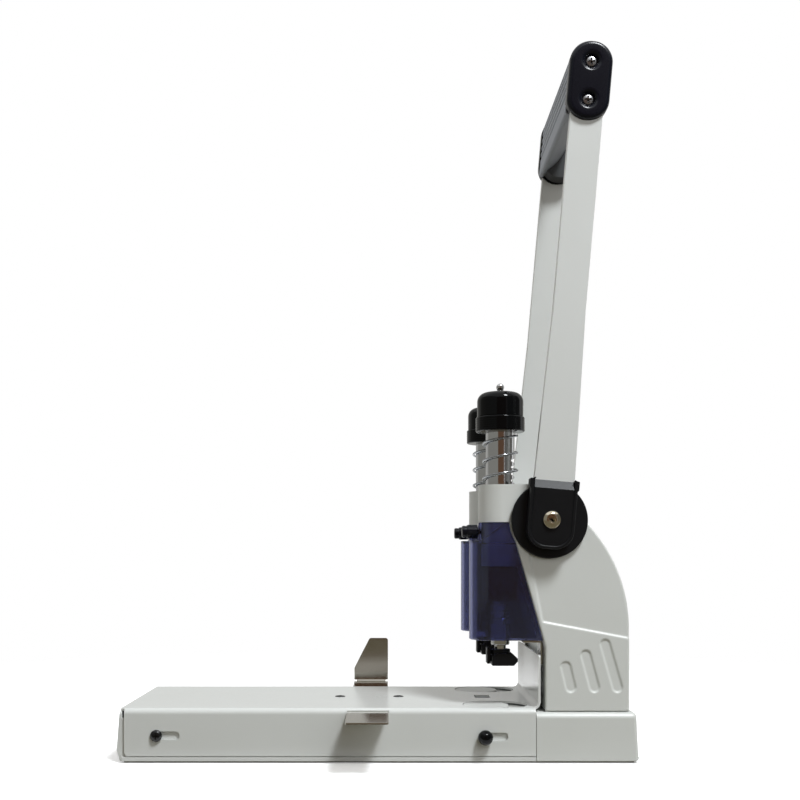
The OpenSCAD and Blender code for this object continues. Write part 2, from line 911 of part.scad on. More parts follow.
module guard_brackets() {
    z = guard_z - gap;
    x0 = column_front - bracket_reach;
    x1 = column_front - fit;
    color(steel)
        both_sides()
            along_y(punch_y - bracket_w / 2, punch_y + bracket_w / 2)
                polygon([[x0, z - bracket_t], [x1 - bracket_t, z - bracket_t],
                    [x1 - bracket_t, z - bracket_drop], [x1, z - bracket_drop],
                    [x1, lean_z], [front_x(z) - fit, z], [x0, z]]);
}

// Head
bush_d = shaft_d + 2 * run + 2 * bush_wall;
head_tail = 20;
head_back = pivot_x + head_tail;

module head_casting() {
    inner = cast_half - head_wall;
    skin = shell_t + fit;
    color(enamel)
        difference() {
            union() {
                both_sides() {
                    bar_z(punch_x, punch_y, tower_d, brow_z, tower_z);
                    bar_z(punch_x, punch_y, nose_d, nose_z, brow_z + eps);
                    block(punch_x, pivot_x, punch_y - nose_d / 4, punch_y + nose_d / 4, nose_z, brow_z + eps);
                }
                block(punch_x, pivot_x, -cast_half, cast_half, brow_z, tower_z);
                along_y(-cast_half, cast_half)
                    intersection() {
                        union() {
                            translate([pivot_x, pivot_z])
                                circle(r = housing_r);
                            polygon([[front_x(head_joint_z) + skin, head_joint_z],
                                [head_back, head_joint_z], [head_back, brow_z + eps],
                                [front_x(brow_z) + skin, brow_z + eps]]);
                        }
                        polygon(box_points(0, base_l, head_joint_z, base_l));
                    }
            }
            both_sides() {
                bar_z(punch_x, punch_y, quill_d + 2 * run, head_joint_z - eps, tower_z + eps);
                bar_y(pivot_x, pivot_z, bush_d + 2 * fit, inner - eps, cast_half + eps);
                bar_x(punch_y, knob_z, thread_d + 2 * run, punch_x - tower_d, punch_x);
            }
            bar_y(pivot_x, pivot_z, 2 * (pinion_tip + 2 * gap), -inner, inner);
            head_stud_spots()
                translate([0, 0, -eps])
                    cylinder(d = stud_d + 2 * fit, h = head_stud_l / 2 + fit + eps);
        }
}

module shaft_bushes() {
    color(brass)
        both_sides()
            difference() {
                bar_y(pivot_x, pivot_z, bush_d, cast_half - head_wall, cast_half);
                bar_y(pivot_x, pivot_z, shaft_d + 2 * run, 0, base_w);
            }
}

// Transparent guards
lug_w = 12;
slant_x = punch_x + 2;

module guard_plan(shrink) {
    r = guard_w / 2 - shrink;
    x = guard_front + guard_w / 2;
    translate([x, punch_y])
        circle(r = r);
    translate([x, punch_y - r])
        square([column_front - x, 2 * r]);
}

module guard() {
    lug_x1 = punch_x - nose_d / 2 - gap;
    lug_x0 = lug_x1 - guard_wall;
    color(tint)
        difference() {
            union() {
                difference() {
                    translate([0, 0, guard_z])
                        linear_extrude(brow_z - gap - guard_z)
                            guard_plan(0);
                    translate([0, 0, guard_z - eps])
                        linear_extrude(brow_z - guard_z + 2 * eps)
                            guard_plan(guard_wall);
                    along_y(0, base_w)
                        polygon([[front_x(guard_z - eps) - gap, guard_z - eps],
                            [base_x1, guard_z - eps], [base_x1, brow_z],
                            [front_x(brow_z) - gap, brow_z]]);
                    along_y(0, base_w)
                        polygon([[guard_front - eps, guard_brow_z], [lug_x1, guard_brow_z],
                            [slant_x, brow_z], [guard_front - eps, brow_z]]);
                }
                block(guard_front + guard_wall / 2, lug_x1, punch_y - lug_w / 2, punch_y + lug_w / 2,
                    guard_brow_z - guard_wall, guard_brow_z);
                block(lug_x0, lug_x1, punch_y - lug_w / 2, punch_y + lug_w / 2,
                    guard_brow_z - guard_wall, brow_z - gap);
            }
            bar_x(punch_y, knob_z, thread_d + 4 * fit, 0, punch_x);
            bar_y(pivot_x, pivot_z, 2 * (housing_r + gap), 0, base_w);
        }
}

module near_guard() {
    near()
        guard();
}

module far_guard() {
    guard();
}

module guard_knob() {
    seat = punch_x - nose_d / 2 - 2 * gap - guard_wall;
    thread_end = punch_x - quill_d / 2 - 2 * gap;
    color(black)
        union() {
            bar_x(punch_y, knob_z, knob_d, seat - knob_l, seat);
            bar_x(punch_y, knob_z, thread_d, seat - eps, thread_end);
        }
}

module near_guard_knob() {
    near()
        guard_knob();
}

module far_guard_knob() {
    guard_knob();
}

// Handle
module drive_shaft() {
    shaft_end = cast_half + sheet;
    color(steel)
        difference() {
            union() {
                bar_y(pivot_x, pivot_z, shaft_d, -shaft_end, shaft_end);
                block(pivot_x - square / 2, pivot_x + square / 2, fit - arm_y, arm_y - fit,
                    pivot_z - square / 2, pivot_z + square / 2);
            }
            both_sides()
                bar_y(pivot_x, pivot_z, pivot_screw_d + 2 * run, arm_y - pivot_screw_l - eps, arm_y + eps);
        }
}

// Half the angle of a tooth at a radius, from the involute of the pressure angle
base_circle = pitch_r * cos(pressure);
function involute(a) = tan(a) - a * PI / 180;
function half_tooth(r) =
    let (a = acos(min(1, base_circle / r)))
    let (half = (tooth_pitch / 2 - backlash / 2) / (2 * pitch_r))
    (half + involute(pressure) - involute(a)) * 180 / PI;
flank = [for (i = [0 : 5]) pitch_r - dedendum + i * (dedendum + tooth_module) / 5];

module pinion_outline() {
    step = 360 / pinion_teeth;
    polygon([for (i = [0 : pinion_teeth - 1])
        each concat(
            [for (r = flank) let (a = 180 + i * step - half_tooth(r)) r * [cos(a), sin(a)]],
            [for (j = [len(flank) - 1 : -1 : 0])
                let (r = flank[j], a = 180 + i * step + half_tooth(r)) r * [cos(a), sin(a)]])]);
}

module pinion() {
    color(steel)
        difference() {
            along_y(punch_y - pinion_w / 2, punch_y + pinion_w / 2)
                translate([pivot_x, pivot_z])
                    pinion_outline();
            bar_y(pivot_x, pivot_z, shaft_d + 2 * run, 0, base_w);
        }
}

module near_pinion() {
    near()
        pinion();
}

module far_pinion() {
    pinion();
}

// The handle's outlines are drawn upright on the axis, then leaned back
module on_lever() {
    translate([pivot_x, pivot_z])
        rotate(-arm_lean)
            children();
}

taper_bend = 300;

module arm_outline(play) {
    low = -arm_tail - play;
    high = arm_l + play;
    w0 = arm_w0 / 2 + play;
    w1 = arm_w1 / 2 + play;
    on_lever()
        polygon(rounded([[-w0, low], [w0, low], [w0, arm_taper[0]], [w1, arm_taper[1]], [w1, high],
            [-w1, high], [-w1, arm_taper[1]], [-w0, arm_taper[0]]],
            [9, 9, taper_bend, taper_bend, 8, 8, taper_bend, taper_bend], 6));
}

socket_low_r = 13;
socket_top_r = 2;

module socket_outline() {
    w = socket_w / 2;
    on_lever()
        polygon(rounded([[-w, -socket_down], [w, -socket_down], [w, socket_up], [-w, socket_up]],
            [socket_low_r, socket_low_r, socket_top_r, socket_top_r]));
}

module hub() {
    hole = square + 2 * fit;
    color(black)
        difference() {
            union() {
                bar_y(pivot_x, pivot_z, hub_d, hub_y, hub_y + hub_t);
                along_y(hub_y, socket_out)
                    socket_outline();
            }
            along_y(arm_y - fit, arm_out + fit)
                arm_outline(fit);
            block(pivot_x - hole / 2, pivot_x + hole / 2, 0, arm_y,
                pivot_z - hole / 2, pivot_z + hole / 2);
            bar_y(pivot_x, pivot_z, pivot_screw_d + 2 * fit, 0, base_w);
        }
}

module near_hub() {
    near()
        hub();
}

module far_hub() {
    hub();
}

pivot_screw_l = 16;
pivot_head_t = 3;

module pivot_screws() {
    color(brass)
        both_sides()
            union() {
                bar_y(pivot_x, pivot_z, pivot_screw_d, arm_y - pivot_screw_l, socket_out + eps);
                bar_y(pivot_x, pivot_z, pivot_head_d, socket_out, socket_out + pivot_head_t);
            }
}

module cap_screw_spots() {
    for (side = [-1, 1])
        on_lever()
            translate([0, grip_r + side * cap_screw_pitch / 2])
                children();
}

module arm() {
    color(enamel)
        difference() {
            along_y(arm_y, arm_out)
                arm_outline(0);
            bar_y(pivot_x, pivot_z, pivot_screw_d + 2 * fit, 0, base_w);
            along_y(arm_y - eps, arm_out + eps)
                cap_screw_spots()
                    circle(d = cap_screw_d + 2 * fit);
        }
}

module near_arm() {
    near()
        arm();
}

module far_arm() {
    arm();
}

// A stadium on the handle, its size given as height and width
module stadium(size) {
    w = size[1] / 2;
    h = size[0] / 2;
    r = w - 0.5;
    on_lever()
        translate([0, grip_r])
            polygon(rounded([[-w, -h], [w, -h], [w, h], [-w, h]], [r, r, r, r], 10));
}

groove_pitch = 5.6;
groove_w = 2.4;
groove_low = -7;
grip_screw_grip = 12;
grip_end = grip_screw_grip + 1;
grip_lip_up = 3.4;
grip_lip_r = 2.2;
grip_lip_fall = 0.8;
grip_crown_r = [6, 10.5];
grip_under = [5.6, 9.4];

// The grip between its ends: a flat front with a lip below, a round crown and a curved underside
module grip_section() {
    w = grip_size[1] / 2;
    h = grip_size[0] / 2;
    low = asin((grip_lip_up + grip_lip_fall - h - grip_under[1]) / grip_under_r);
    centre = [grip_under[0] - grip_under_r, grip_under[1]];
    under = [for (i = [0 : 12])
        let (a = low * (1 - i / 12)) centre + grip_under_r * [cos(a), sin(a)]];
    on_lever()
        translate([0, grip_r])
            polygon(rounded(concat([[grip_under[0], h], [-w, h], [-w, grip_lip_up - h]], under),
                concat([grip_crown_r[0], grip_crown_r[1], grip_lip_r], [for (p = under) 0]), 10));
}

module grip() {
    half = arm_y - fit;
    color(grey)
        difference() {
            union() {
                along_y(-half, half)
                    grip_section();
                both_sides()
                    along_y(half - grip_end, half)
                        stadium(grip_size);
            }
            along_y(-half - eps, half + eps)
                for (i = [0 : groove_count - 1])
                    on_lever()
                        translate([-grip_size[1] / 2, grip_r + groove_low + i * groove_pitch])
                            square([2 * groove_depth, groove_w], center = true);
            both_sides()
                along_y(half - grip_screw_grip, half + eps)
                    cap_screw_spots()
                        circle(d = cap_screw_d + 2 * fit);
        }
}

module grip_cap() {
    color(black)
        difference() {
            along_y(cap_y, cap_out)
                stadium(cap_size);
            along_y(cap_y - eps, arm_out + fit)
                arm_outline(fit);
            along_y(cap_y - eps, cap_out + eps)
                cap_screw_spots()
                    circle(d = cap_screw_d + 2 * fit);
            along_y(cap_out - cap_screw_sink, cap_out + eps)
                cap_screw_spots()
                    circle(d = cap_screw_head + 2 * gap);
        }
}

module near_grip_cap() {
    near()
        grip_cap();
}

module far_grip_cap() {
    grip_cap();
}

module grip_screws() {
    seat = cap_out - cap_screw_sink;
    color(black)
        both_sides() {
            along_y(arm_y - grip_screw_grip + 1, seat + 1)
                cap_screw_spots()
                    circle(d = cap_screw_d);
            along_y(seat, cap_out - gap)
                cap_screw_spots()
                    circle(d = cap_screw_head);
        }
}

// Punches
rack_first = -3;
rack_last = 9;

module rack_gap() {
    half = tooth_pitch / 4 + backlash / 4;
    root = rack_x - dedendum;
    outer = quill_d / 2 + eps;
    low = half - dedendum * tan(pressure);
    high = half + (outer - rack_x) * tan(pressure);
    polygon([[root, -low], [outer, -high], [outer, high], [root, low]]);
}

module quill() {
    color(chrome)
        difference() {
            union() {
                bar_z(punch_x, punch_y, quill_d, quill_z0, quill_top);
                bar_z(punch_x, punch_y, quill_spigot_d, quill_z0 - quill_spigot_l, quill_z0 + eps);
            }
            bar_z(punch_x, punch_y, chip_bore_d, quill_z0 - quill_spigot_l - eps, quill_top + eps);
            along_y(punch_y - quill_d, punch_y + quill_d)
                for (i = [rack_first : rack_last])
                    translate([punch_x, pivot_z + i * tooth_pitch])
                        rack_gap();
        }
}

module near_quill() {
    near()
        quill();
}

module far_quill() {
    quill();
}

module cap_collar() {
    edge = 1;
    color(black)
        translate([punch_x, punch_y, 0])
            rotate_extrude()
                polygon(rounded([[quill_d / 2 + fit, collar_z], [collar_d / 2, collar_z],
                    [collar_d / 2, collar_z + collar_t], [quill_d / 2 + fit, collar_z + collar_t]],
                    [0, edge, edge, 0]));
}

module near_cap_collar() {
    near()
        cap_collar();
}

module far_cap_collar() {
    cap_collar();
}

ball_thread_d = 4;
ball_sit = 2.2;

// A half outline of the dome from its top to its rim, fuller than a round one
dome_full = 0.5;
function dome_line(r, z0, h, n) =
    [for (i = [0 : n])
        let (a = 90 * i / n) [r * pow(sin(a), dome_full), z0 + h * pow(cos(a), dome_full)]];

module dome_cap() {
    z0 = collar_z + collar_t;
    color(black)
        translate([punch_x, punch_y, 0])
            difference() {
                rotate_extrude()
                    polygon(concat([[0, z0]], dome_line(dome_d / 2, z0, dome_h, 14)));
                translate([0, 0, -eps])
                    rotate_extrude()
                        polygon(concat([[0, z0]],
                            dome_line(dome_d / 2 - dome_wall, z0, dome_h - dome_wall + eps, 10)));
                translate([0, 0, z0])
                    cylinder(d = ball_thread_d + 2 * fit, h = dome_h + eps);
            }
}

module near_dome_cap() {
    near()
        dome_cap();
}

module far_dome_cap() {
    dome_cap();
}

module cap_knob() {
    top = collar_z + collar_t + dome_h;
    thread_z = top - dome_wall - 4;
    color(chrome)
        translate([punch_x, punch_y, 0])
            union() {
                intersection() {
                    translate([0, 0, top + ball_sit])
                        sphere(d = ball_d);
                    translate([0, 0, top + fit])
                        cylinder(d = ball_d + eps, h = ball_d);
                }
                translate([0, 0, thread_z])
                    cylinder(d = ball_thread_d, h = top - thread_z + ball_sit);
            }
}

module near_cap_knob() {
    near()
        cap_knob();
}

module far_cap_knob() {
    cap_knob();
}

// Springs: a wire swept along a helix, with a straight stretch at each end that meets its seat squarely
function spring_path(r, z0, z1, turns, wire) =
    let (n = turns * 8, low = z0 + wire, rise = z1 - z0 - 2 * wire)
    concat([[r, 0, z0]],
        [for (i = [0 : n]) [r * cos(45 * i), r * sin(45 * i), low + rise * i / n]],
        [[r * cos(45 * n), r * sin(45 * n), z1]]);
function spring_least_gap(path, wire) =
    min([for (i = [0 : len(path) - 6]) for (j = [i + 5 : len(path) - 1]) norm(path[i] - path[j])]) - wire;
function ring_frame(path, k) =
    let (m = len(path) - 1)
    let (t = unit(path[min(k + 1, m)] - path[max(k - 1, 0)]))
    let (out = unit([path[k][0], path[k][1], 0]))
    let (side = unit(cross(t, out)))
    [out, side];

module spring(path, wire) {
    sides = 6;
    rings = len(path);
    points = [for (k = [0 : rings - 1]) let (f = ring_frame(path, k))
        for (j = [0 : sides - 1])
            path[k] + wire / 2 * (cos(60 * j) * f[0] + sin(60 * j) * f[1])];
    skin = [for (k = [0 : rings - 2]) for (j = [0 : sides - 1])
        let (a = k * sides + j, b = k * sides + (j + 1) % sides)
        each [[a, a + sides, b + sides], [a, b + sides, b]]];
    last = (rings - 1) * sides;
    ends = [for (j = [1 : sides - 2]) each [[0, j, j + 1], [last, last + j + 1, last + j]]];
    polyhedron(points, concat(skin, ends));
}

return_path = spring_path((return_d - return_wire) / 2, tower_z, collar_z - gap, return_turns, return_wire);
strip_path = spring_path((strip_d - strip_wire) / 2, strip_z0, chuck_z - gap, strip_turns, strip_wire);
echo(return_spring_least_gap = spring_least_gap(return_path, return_wire));
echo(stripper_spring_least_gap = spring_least_gap(strip_path, strip_wire));

module return_spring(side) {
    color(steel)
        translate([punch_x, side * punch_y, 0])
            spring(return_path, return_wire);
}

module near_return_spring() {
    return_spring(-1);
}

module far_return_spring() {
    return_spring(1);
}

module stripper_spring(side) {
    color(steel)
        translate([punch_x, side * punch_y, 0])
            spring(strip_path, strip_wire);
}

module near_stripper_spring() {
    stripper_spring(-1);
}

module far_stripper_spring() {
    stripper_spring(1);
}

chuck_lip = 2;
chuck_skirt_play = 1.2;

module pin_chuck() {
    color(black)
        difference() {
            union() {
                bar_z(punch_x, punch_y, chuck_d, chuck_z, quill_z0 - fit);
                bar_z(punch_x, punch_y, chuck_skirt_d, chuck_skirt_z, chuck_z + chuck_lip);
            }
            bar_z(punch_x, punch_y, strip_d + 2 * chuck_skirt_play, chuck_skirt_z - eps, chuck_z);
            bar_z(punch_x, punch_y, sleeve_d + 2 * run, chuck_z - eps, chuck_step);
            bar_z(punch_x, punch_y, pin_d + 2 * fit, chuck_z, quill_z0);
            bar_z(punch_x, punch_y, quill_spigot_d + 2 * fit, pin_top, quill_z0 + eps);
        }
}

module near_pin_chuck() {
    near()
        pin_chuck();
}

module far_pin_chuck() {
    pin_chuck();
}

edge_h = 2;

module punch_pin() {
    bore = pin_d - 2 * pin_wall;
    color(steel)
        difference() {
            union() {
                bar_z(punch_x, punch_y, pin_d, tip_z + edge_h, pin_top);
                translate([punch_x, punch_y, tip_z])
                    cylinder(d1 = bore + pin_wall / 2, d2 = pin_d, h = edge_h);
            }
            bar_z(punch_x, punch_y, bore, tip_z - eps, pin_top + eps);
        }
}

module near_punch_pin() {
    near()
        punch_pin();
}

module far_punch_pin() {
    punch_pin();
}

module foot_sleeve() {
    color(chrome)
        difference() {
            union() {
                bar_z(punch_x, punch_y, neck_d, foot_neck_z, cup_z + eps);
                bar_z(punch_x, punch_y, cup_d, cup_z, strip_z0);
                bar_z(punch_x, punch_y, sleeve_d, strip_z0 - eps, sleeve_top);
            }
            bar_z(punch_x, punch_y, 2 * sleeve_bore, sole_z, sleeve_top + eps);
        }
}

module near_foot_sleeve() {
    near()
        foot_sleeve();
}

module far_foot_sleeve() {
    foot_sleeve();
}

// Cuts at the feet's toes, below their heels and above them
toe_cut = [2.5, 2];
heel_low = [2.8, 3];
heel_high = [4, 3.8];

module foot() {
    x0 = punch_x - foot_front;
    x1 = punch_x + foot_back;
    top = sole_z + foot_t;
    color(black)
        difference() {
            union() {
                along_y(punch_y - foot_w / 2, punch_y + foot_w / 2)
                    polygon(rounded([[x0, sole_z], [x1 - heel_low[0], sole_z], [x1, sole_z + heel_low[1]],
                        [x1, top - heel_high[1]], [x1 - heel_high[0], top], [x0 + toe_cut[0], top],
                        [x0, top - toe_cut[1]]],
                        [0.5, 0.6, 0.4, 0.6, 0.8, 0.8, 0.6]));
                bar_z(punch_x, punch_y, foot_boss_d, top - eps, top + foot_neck_rise);
            }
            bar_z(punch_x, punch_y, neck_d + 2 * fit, foot_neck_z - fit, cup_z);
            bar_z(punch_x, punch_y, pin_d + 2 * gap, sole_z - eps, cup_z);
        }
}

module near_foot() {
    near()
        foot();
}

module far_foot() {
    foot();
}

echo(pivot = [pivot_x, pivot_z], stroke = stroke, pitch_r = pitch_r, foot_rise = foot_rise, tip_z = tip_z);

base_mat();
base_pan();
bed_casting();
pan_screws();
table_cover();
ruler_guide();
table_screws();
gauge_ruler();
guide_screws();
near_clamp_knob();
far_clamp_knob();
near_cutting_disc();
far_cutting_disc();
column_casting();
column_bolts();
near_side_cover();
far_side_cover();
back_cover();
front_cover();
guard_brackets();
head_casting();
head_studs();
shaft_bushes();
near_guard();
far_guard();
near_guard_knob();
far_guard_knob();
drive_shaft();
near_pinion();
far_pinion();
near_hub();
far_hub();
pivot_screws();
near_arm();
far_arm();
grip();
near_grip_cap();
far_grip_cap();
grip_screws();
near_quill();
far_quill();
near_cap_collar();
far_cap_collar();
near_dome_cap();
far_dome_cap();
near_cap_knob();
far_cap_knob();
near_return_spring();
far_return_spring();
near_pin_chuck();
far_pin_chuck();
near_punch_pin();
far_punch_pin();
near_foot_sleeve();
far_foot_sleeve();
near_foot();
far_foot();
near_stripper_spring();
far_stripper_spring();
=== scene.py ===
import math

import bmesh
import bpy
from mathutils import Matrix, Vector


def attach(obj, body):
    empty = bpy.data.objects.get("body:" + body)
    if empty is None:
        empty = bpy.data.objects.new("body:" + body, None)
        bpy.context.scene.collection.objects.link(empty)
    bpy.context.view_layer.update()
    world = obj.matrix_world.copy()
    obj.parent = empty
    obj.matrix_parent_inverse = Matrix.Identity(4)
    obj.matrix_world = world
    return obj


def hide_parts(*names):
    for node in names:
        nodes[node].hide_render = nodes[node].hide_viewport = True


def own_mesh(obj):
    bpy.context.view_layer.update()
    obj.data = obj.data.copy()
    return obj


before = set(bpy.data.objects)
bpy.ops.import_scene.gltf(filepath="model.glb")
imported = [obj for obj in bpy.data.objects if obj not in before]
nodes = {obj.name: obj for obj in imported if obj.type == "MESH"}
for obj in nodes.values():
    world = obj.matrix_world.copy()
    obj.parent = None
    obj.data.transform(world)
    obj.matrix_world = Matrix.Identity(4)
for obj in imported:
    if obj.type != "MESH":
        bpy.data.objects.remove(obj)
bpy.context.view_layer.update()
scene = bpy.context.scene
mm = 0.001
sides = {"near": -1, "far": 1}
print("frame:", len(nodes), "nodes")

# places that several pieces share, in mm and degrees
layout = dict(punchX=85.7, punchY=40, pivotX=117.65, pivotZ=167.6, lean=5, tableZ=37.6, columnFront=115,
              columnBack=173.2, leanZ=80, leanRate=24.3 / 86.5, backZ=93, backR=105, coverZ=35.1, coverTop=166.5,
              castHalf=55.5)


def linear(hexColour):
    parts = [int(hexColour[i:i + 2], 16) / 255 for i in (1, 3, 5)]
    return [p / 12.92 if p <= 0.04045 else ((p + 0.055) / 1.055) ** 2.4 for p in parts] + [1]


def addNode(tree, kind, values=None, links=None, **settings):
    node = tree.nodes.new(kind)
    for key, value in settings.items():
        setattr(node, key, value)
    for key, value in (values or {}).items():
        node.inputs[key].default_value = value
    for key, source in (links or {}).items():
        tree.links.new(source, node.inputs[key])
    return node


# the colour sockets of a Mix node
mixA, mixB, mixOut = 6, 7, 2
finishForm = dict(mottleDetail=3, grainDetail=2, edgeSamples=4, edgeFrom=0.97, edgeTo=0.75)


# colours: base and slow drift over mottleMm; grain: size and depth in mm, strength; rough: middle and spread;
# brush: stretch of the grain; edge: lighter colour of the rims (painted highlight and wear), width in mm and share
def finish(name, look):
    material = bpy.data.materials.new(name)
    material.use_nodes = True
    tree = material.node_tree
    shader = tree.nodes["Principled BSDF"]
    place = addNode(tree, "ShaderNodeTexCoord").outputs["Object"]
    base, drift = (linear(c) for c in look["colours"])
    slow = addNode(tree, "ShaderNodeTexNoise", {"Scale": 1 / (look["mottleMm"] * mm),
                   "Detail": finishForm["mottleDetail"]}, {"Vector": place})
    mixed = addNode(tree, "ShaderNodeMix", {mixA: base, mixB: drift}, {0: slow.outputs["Fac"]}, data_type="RGBA")
    colour = mixed.outputs[mixOut]
    # painted highlight and wear: the rims are mixed towards a lighter colour, as if they caught the light and were
    # rubbed
    if "edge" in look:
        wearAndHighlight, width, most = look["edge"]
        soft = addNode(tree, "ShaderNodeBevel", {"Radius": width * mm}, samples=finishForm["edgeSamples"])
        sharp = addNode(tree, "ShaderNodeNewGeometry")
        turn = addNode(tree, "ShaderNodeVectorMath", links={0: soft.outputs["Normal"], 1: sharp.outputs["Normal"]},
                       operation="DOT_PRODUCT")
        wearAndHighlightMask = addNode(tree, "ShaderNodeMapRange", {"From Min": finishForm["edgeFrom"],
                      "From Max": finishForm["edgeTo"], "To Max": most}, {"Value": turn.outputs["Value"]})
        wearAndHighlightMix = addNode(tree, "ShaderNodeMix", {mixB: linear(wearAndHighlight)}, {0: wearAndHighlightMask.outputs["Result"], mixA: colour},
                       data_type="RGBA")
        colour = wearAndHighlightMix.outputs[mixOut]
    tree.links.new(colour, shader.inputs["Base Color"])
    size, depth, strength = look["grain"]
    stretch = addNode(tree, "ShaderNodeMapping", {"Scale": look.get("brush", (1, 1, 1))}, {"Vector": place})
    grain = addNode(tree, "ShaderNodeTexNoise", {"Scale": 1 / (size * mm), "Detail": finishForm["grainDetail"]},
                    {"Vector": stretch.outputs["Vector"]})
    middle, spread = look["rough"]
    rough = addNode(tree, "ShaderNodeMapRange", {"To Min": middle - spread, "To Max": middle + spread},
                    {"Value": grain.outputs["Fac"]})
    tree.links.new(rough.outputs["Result"], shader.inputs["Roughness"])
    relief = addNode(tree, "ShaderNodeBump", {"Strength": strength, "Distance": depth * mm},
                     {"Height": grain.outputs["Fac"]})
    tree.links.new(relief.outputs["Normal"], shader.inputs["Normal"])
    for socket, value in look["sockets"].items():
        shader.inputs[socket].default_value = value
    return material


metal = {"Metallic": 1.0}
looks = dict(
    # stove enamel on sheet steel: satin white with a faint orange peel
    whiteEnamel=dict(colours=("#d8dad8", "#d2d4d1"), mottleMm=60, grain=(1.6, 0.02, 0.1), rough=(0.19, 0.04),
                     edge=("#e6e6e2", 0.5, 0.5), sockets={"IOR": 1.5}),
    # enamel on the cast and moulded covers: a little softer and warmer
    shellEnamel=dict(colours=("#d5d7d4", "#cfd1cd"), mottleMm=45, grain=(0.9, 0.02, 0.15), rough=(0.36, 0.05),
                     edge=("#e2e4e0", 0.7, 0.5), sockets={"IOR": 1.5}),
    # moulded black ABS: satin with a spark-eroded texture
    blackAbs=dict(colours=("#0b0c0e", "#101114"), mottleMm=12, grain=(0.45, 0.02, 0.25), rough=(0.42, 0.08),
                  edge=("#2c2e33", 0.4, 0.4), sockets={"IOR": 1.5, "Specular IOR Level": 0.22}),
    # black nylon caps and knobs: half gloss with a blue cast and a faint mould texture
    blackNylon=dict(colours=("#060811", "#0a0d18"), mottleMm=14, grain=(0.6, 0.015, 0.12), rough=(0.24, 0.05),
                    edge=("#20232c", 0.4, 0.35), sockets={"IOR": 1.5, "Specular IOR Level": 0.26}),
    # polished black phenolic caps: deep gloss with faint ripples
    blackGloss=dict(colours=("#050607", "#08090b"), mottleMm=18, grain=(6, 0.02, 0.08), rough=(0.08, 0.02),
                    sockets={"IOR": 1.5, "Specular IOR Level": 0.16}),
    # grey PVC grip: dull with a fine skin
    greyGrip=dict(colours=("#8b9098", "#82878f"), mottleMm=25, grain=(0.6, 0.03, 0.25), rough=(0.48, 0.06),
                  edge=("#a5a8ab", 0.6, 0.5), sockets={"IOR": 1.5}),
    # the grip's grey PVC on its end blocks, coloured matt dark grey as painted shade: it stands for the shadowed
    # patch under the bar
    gripPaintedShade=dict(colours=("#48494a", "#414243"), mottleMm=20, grain=(0.6, 0.03, 0.25), rough=(0.75, 0.06),
                 edge=("#5c5d5e", 0.5, 0.4), sockets={"IOR": 1.5, "Specular IOR Level": 0.2}),
    # tinted polycarbonate: violet-blue, clear, with slow moulding waves
    tintedGuard=dict(colours=("#64698f", "#5d6289"), mottleMm=30, grain=(14, 0.04, 0.1), rough=(0.06, 0.02),
                     sockets={"IOR": 1.58, "Transmission Weight": 1.0}),
    # ground and chromed steel: bright with fine rings left by the grinder
    chromePlate=dict(colours=("#c9cacb", "#bfc0c2"), mottleMm=20, grain=(0.9, 0.004, 0.2), brush=(1, 1, 6),
                     rough=(0.1, 0.03), sockets=metal),
    # rolled stainless strip: soft reflections drawn out by fine lines along the strip
    brushedSteel=dict(colours=("#b9b6ae", "#aaa79e"), mottleMm=15, grain=(0.5, 0.004, 0.1), brush=(1, 0.04, 1),
                      rough=(0.13, 0.03), sockets=metal),
    # turned steel with a film of oil: grey and half dull
    machinedSteel=dict(colours=("#a3a4a6", "#8f9092"), mottleMm=8, grain=(0.5, 0.01, 0.2), brush=(1, 1, 4),
                       rough=(0.28, 0.08), sockets=metal),
    # drawn and oiled spring wire: bright with a slight dulling in patches
    springWire=dict(colours=("#a9abae", "#909396"), mottleMm=5, grain=(0.7, 0.01, 0.2), rough=(0.2, 0.06),
                    sockets=metal),
    # nickelled brass screw: warm and bright
    nickelBrass=dict(colours=("#d4cebe", "#b2a992"), mottleMm=4, grain=(0.4, 0.01, 0.2), rough=(0.12, 0.04),
                     sockets=metal),
    # blackened steel: dark and half glossy with rubbed edges
    blackOxide=dict(colours=("#101113", "#18191b"), mottleMm=4, grain=(0.4, 0.01, 0.2), rough=(0.26, 0.06),
                    edge=("#4c4e50", 0.3, 0.4), sockets={"Metallic": 0.3}),
    # nylon cutting discs: milky and dull, scuffed by the pins
    whiteNylon=dict(colours=("#c8c9c6", "#bdbeba"), mottleMm=9, grain=(0.8, 0.03, 0.3), rough=(0.5, 0.08),
                    sockets={"IOR": 1.53}),
    # primed grey iron inside the column: coarse sand grain
    primedIron=dict(colours=("#77787a", "#6a6b6d"), mottleMm=20, grain=(1.5, 0.12, 0.5), rough=(0.62, 0.1),
                    sockets={"IOR": 1.5}),
    # rubber mat: pale grey and dull with a fine grain
    greyRubber=dict(colours=("#a3a29d", "#96958f"), mottleMm=15, grain=(0.8, 0.06, 0.5), rough=(0.85, 0.08),
                    sockets={"IOR": 1.52}))
materials = {name: finish(name, look) for name, look in looks.items()}
print("materials:", len(materials))


def boxLoop(x0, y0, x1, y1):
    return [(x0, y0), (x1, y0), (x1, y1), (x0, y1)]


def rounded(points, radii, steps=6):
    loop = []
    for i, point in enumerate(points):
        radius = radii[i] if isinstance(radii, (list, tuple)) else radii
        corner, before, after = Vector(point), Vector(points[i - 1]), Vector(points[(i + 1) % len(points)])
        if radius <= 0:
            loop.append(corner)
            continue
        u, v = (before - corner).normalized(), (after - corner).normalized()
        half = math.acos(max(-1, min(1, u.dot(v)))) / 2
        centre = corner + (u + v).normalized() * (radius / math.sin(half))
        start, end = (corner + way * (radius / math.tan(half)) - centre for way in (u, v))
        sweep = math.atan2(start.x * end.y - start.y * end.x, start.dot(end))
        for k in range(steps + 1):
            c, s = math.cos(sweep * k / steps), math.sin(sweep * k / steps)
            loop.append(centre + Vector((start.x * c - start.y * s, start.x * s + start.y * c)))
    return loop


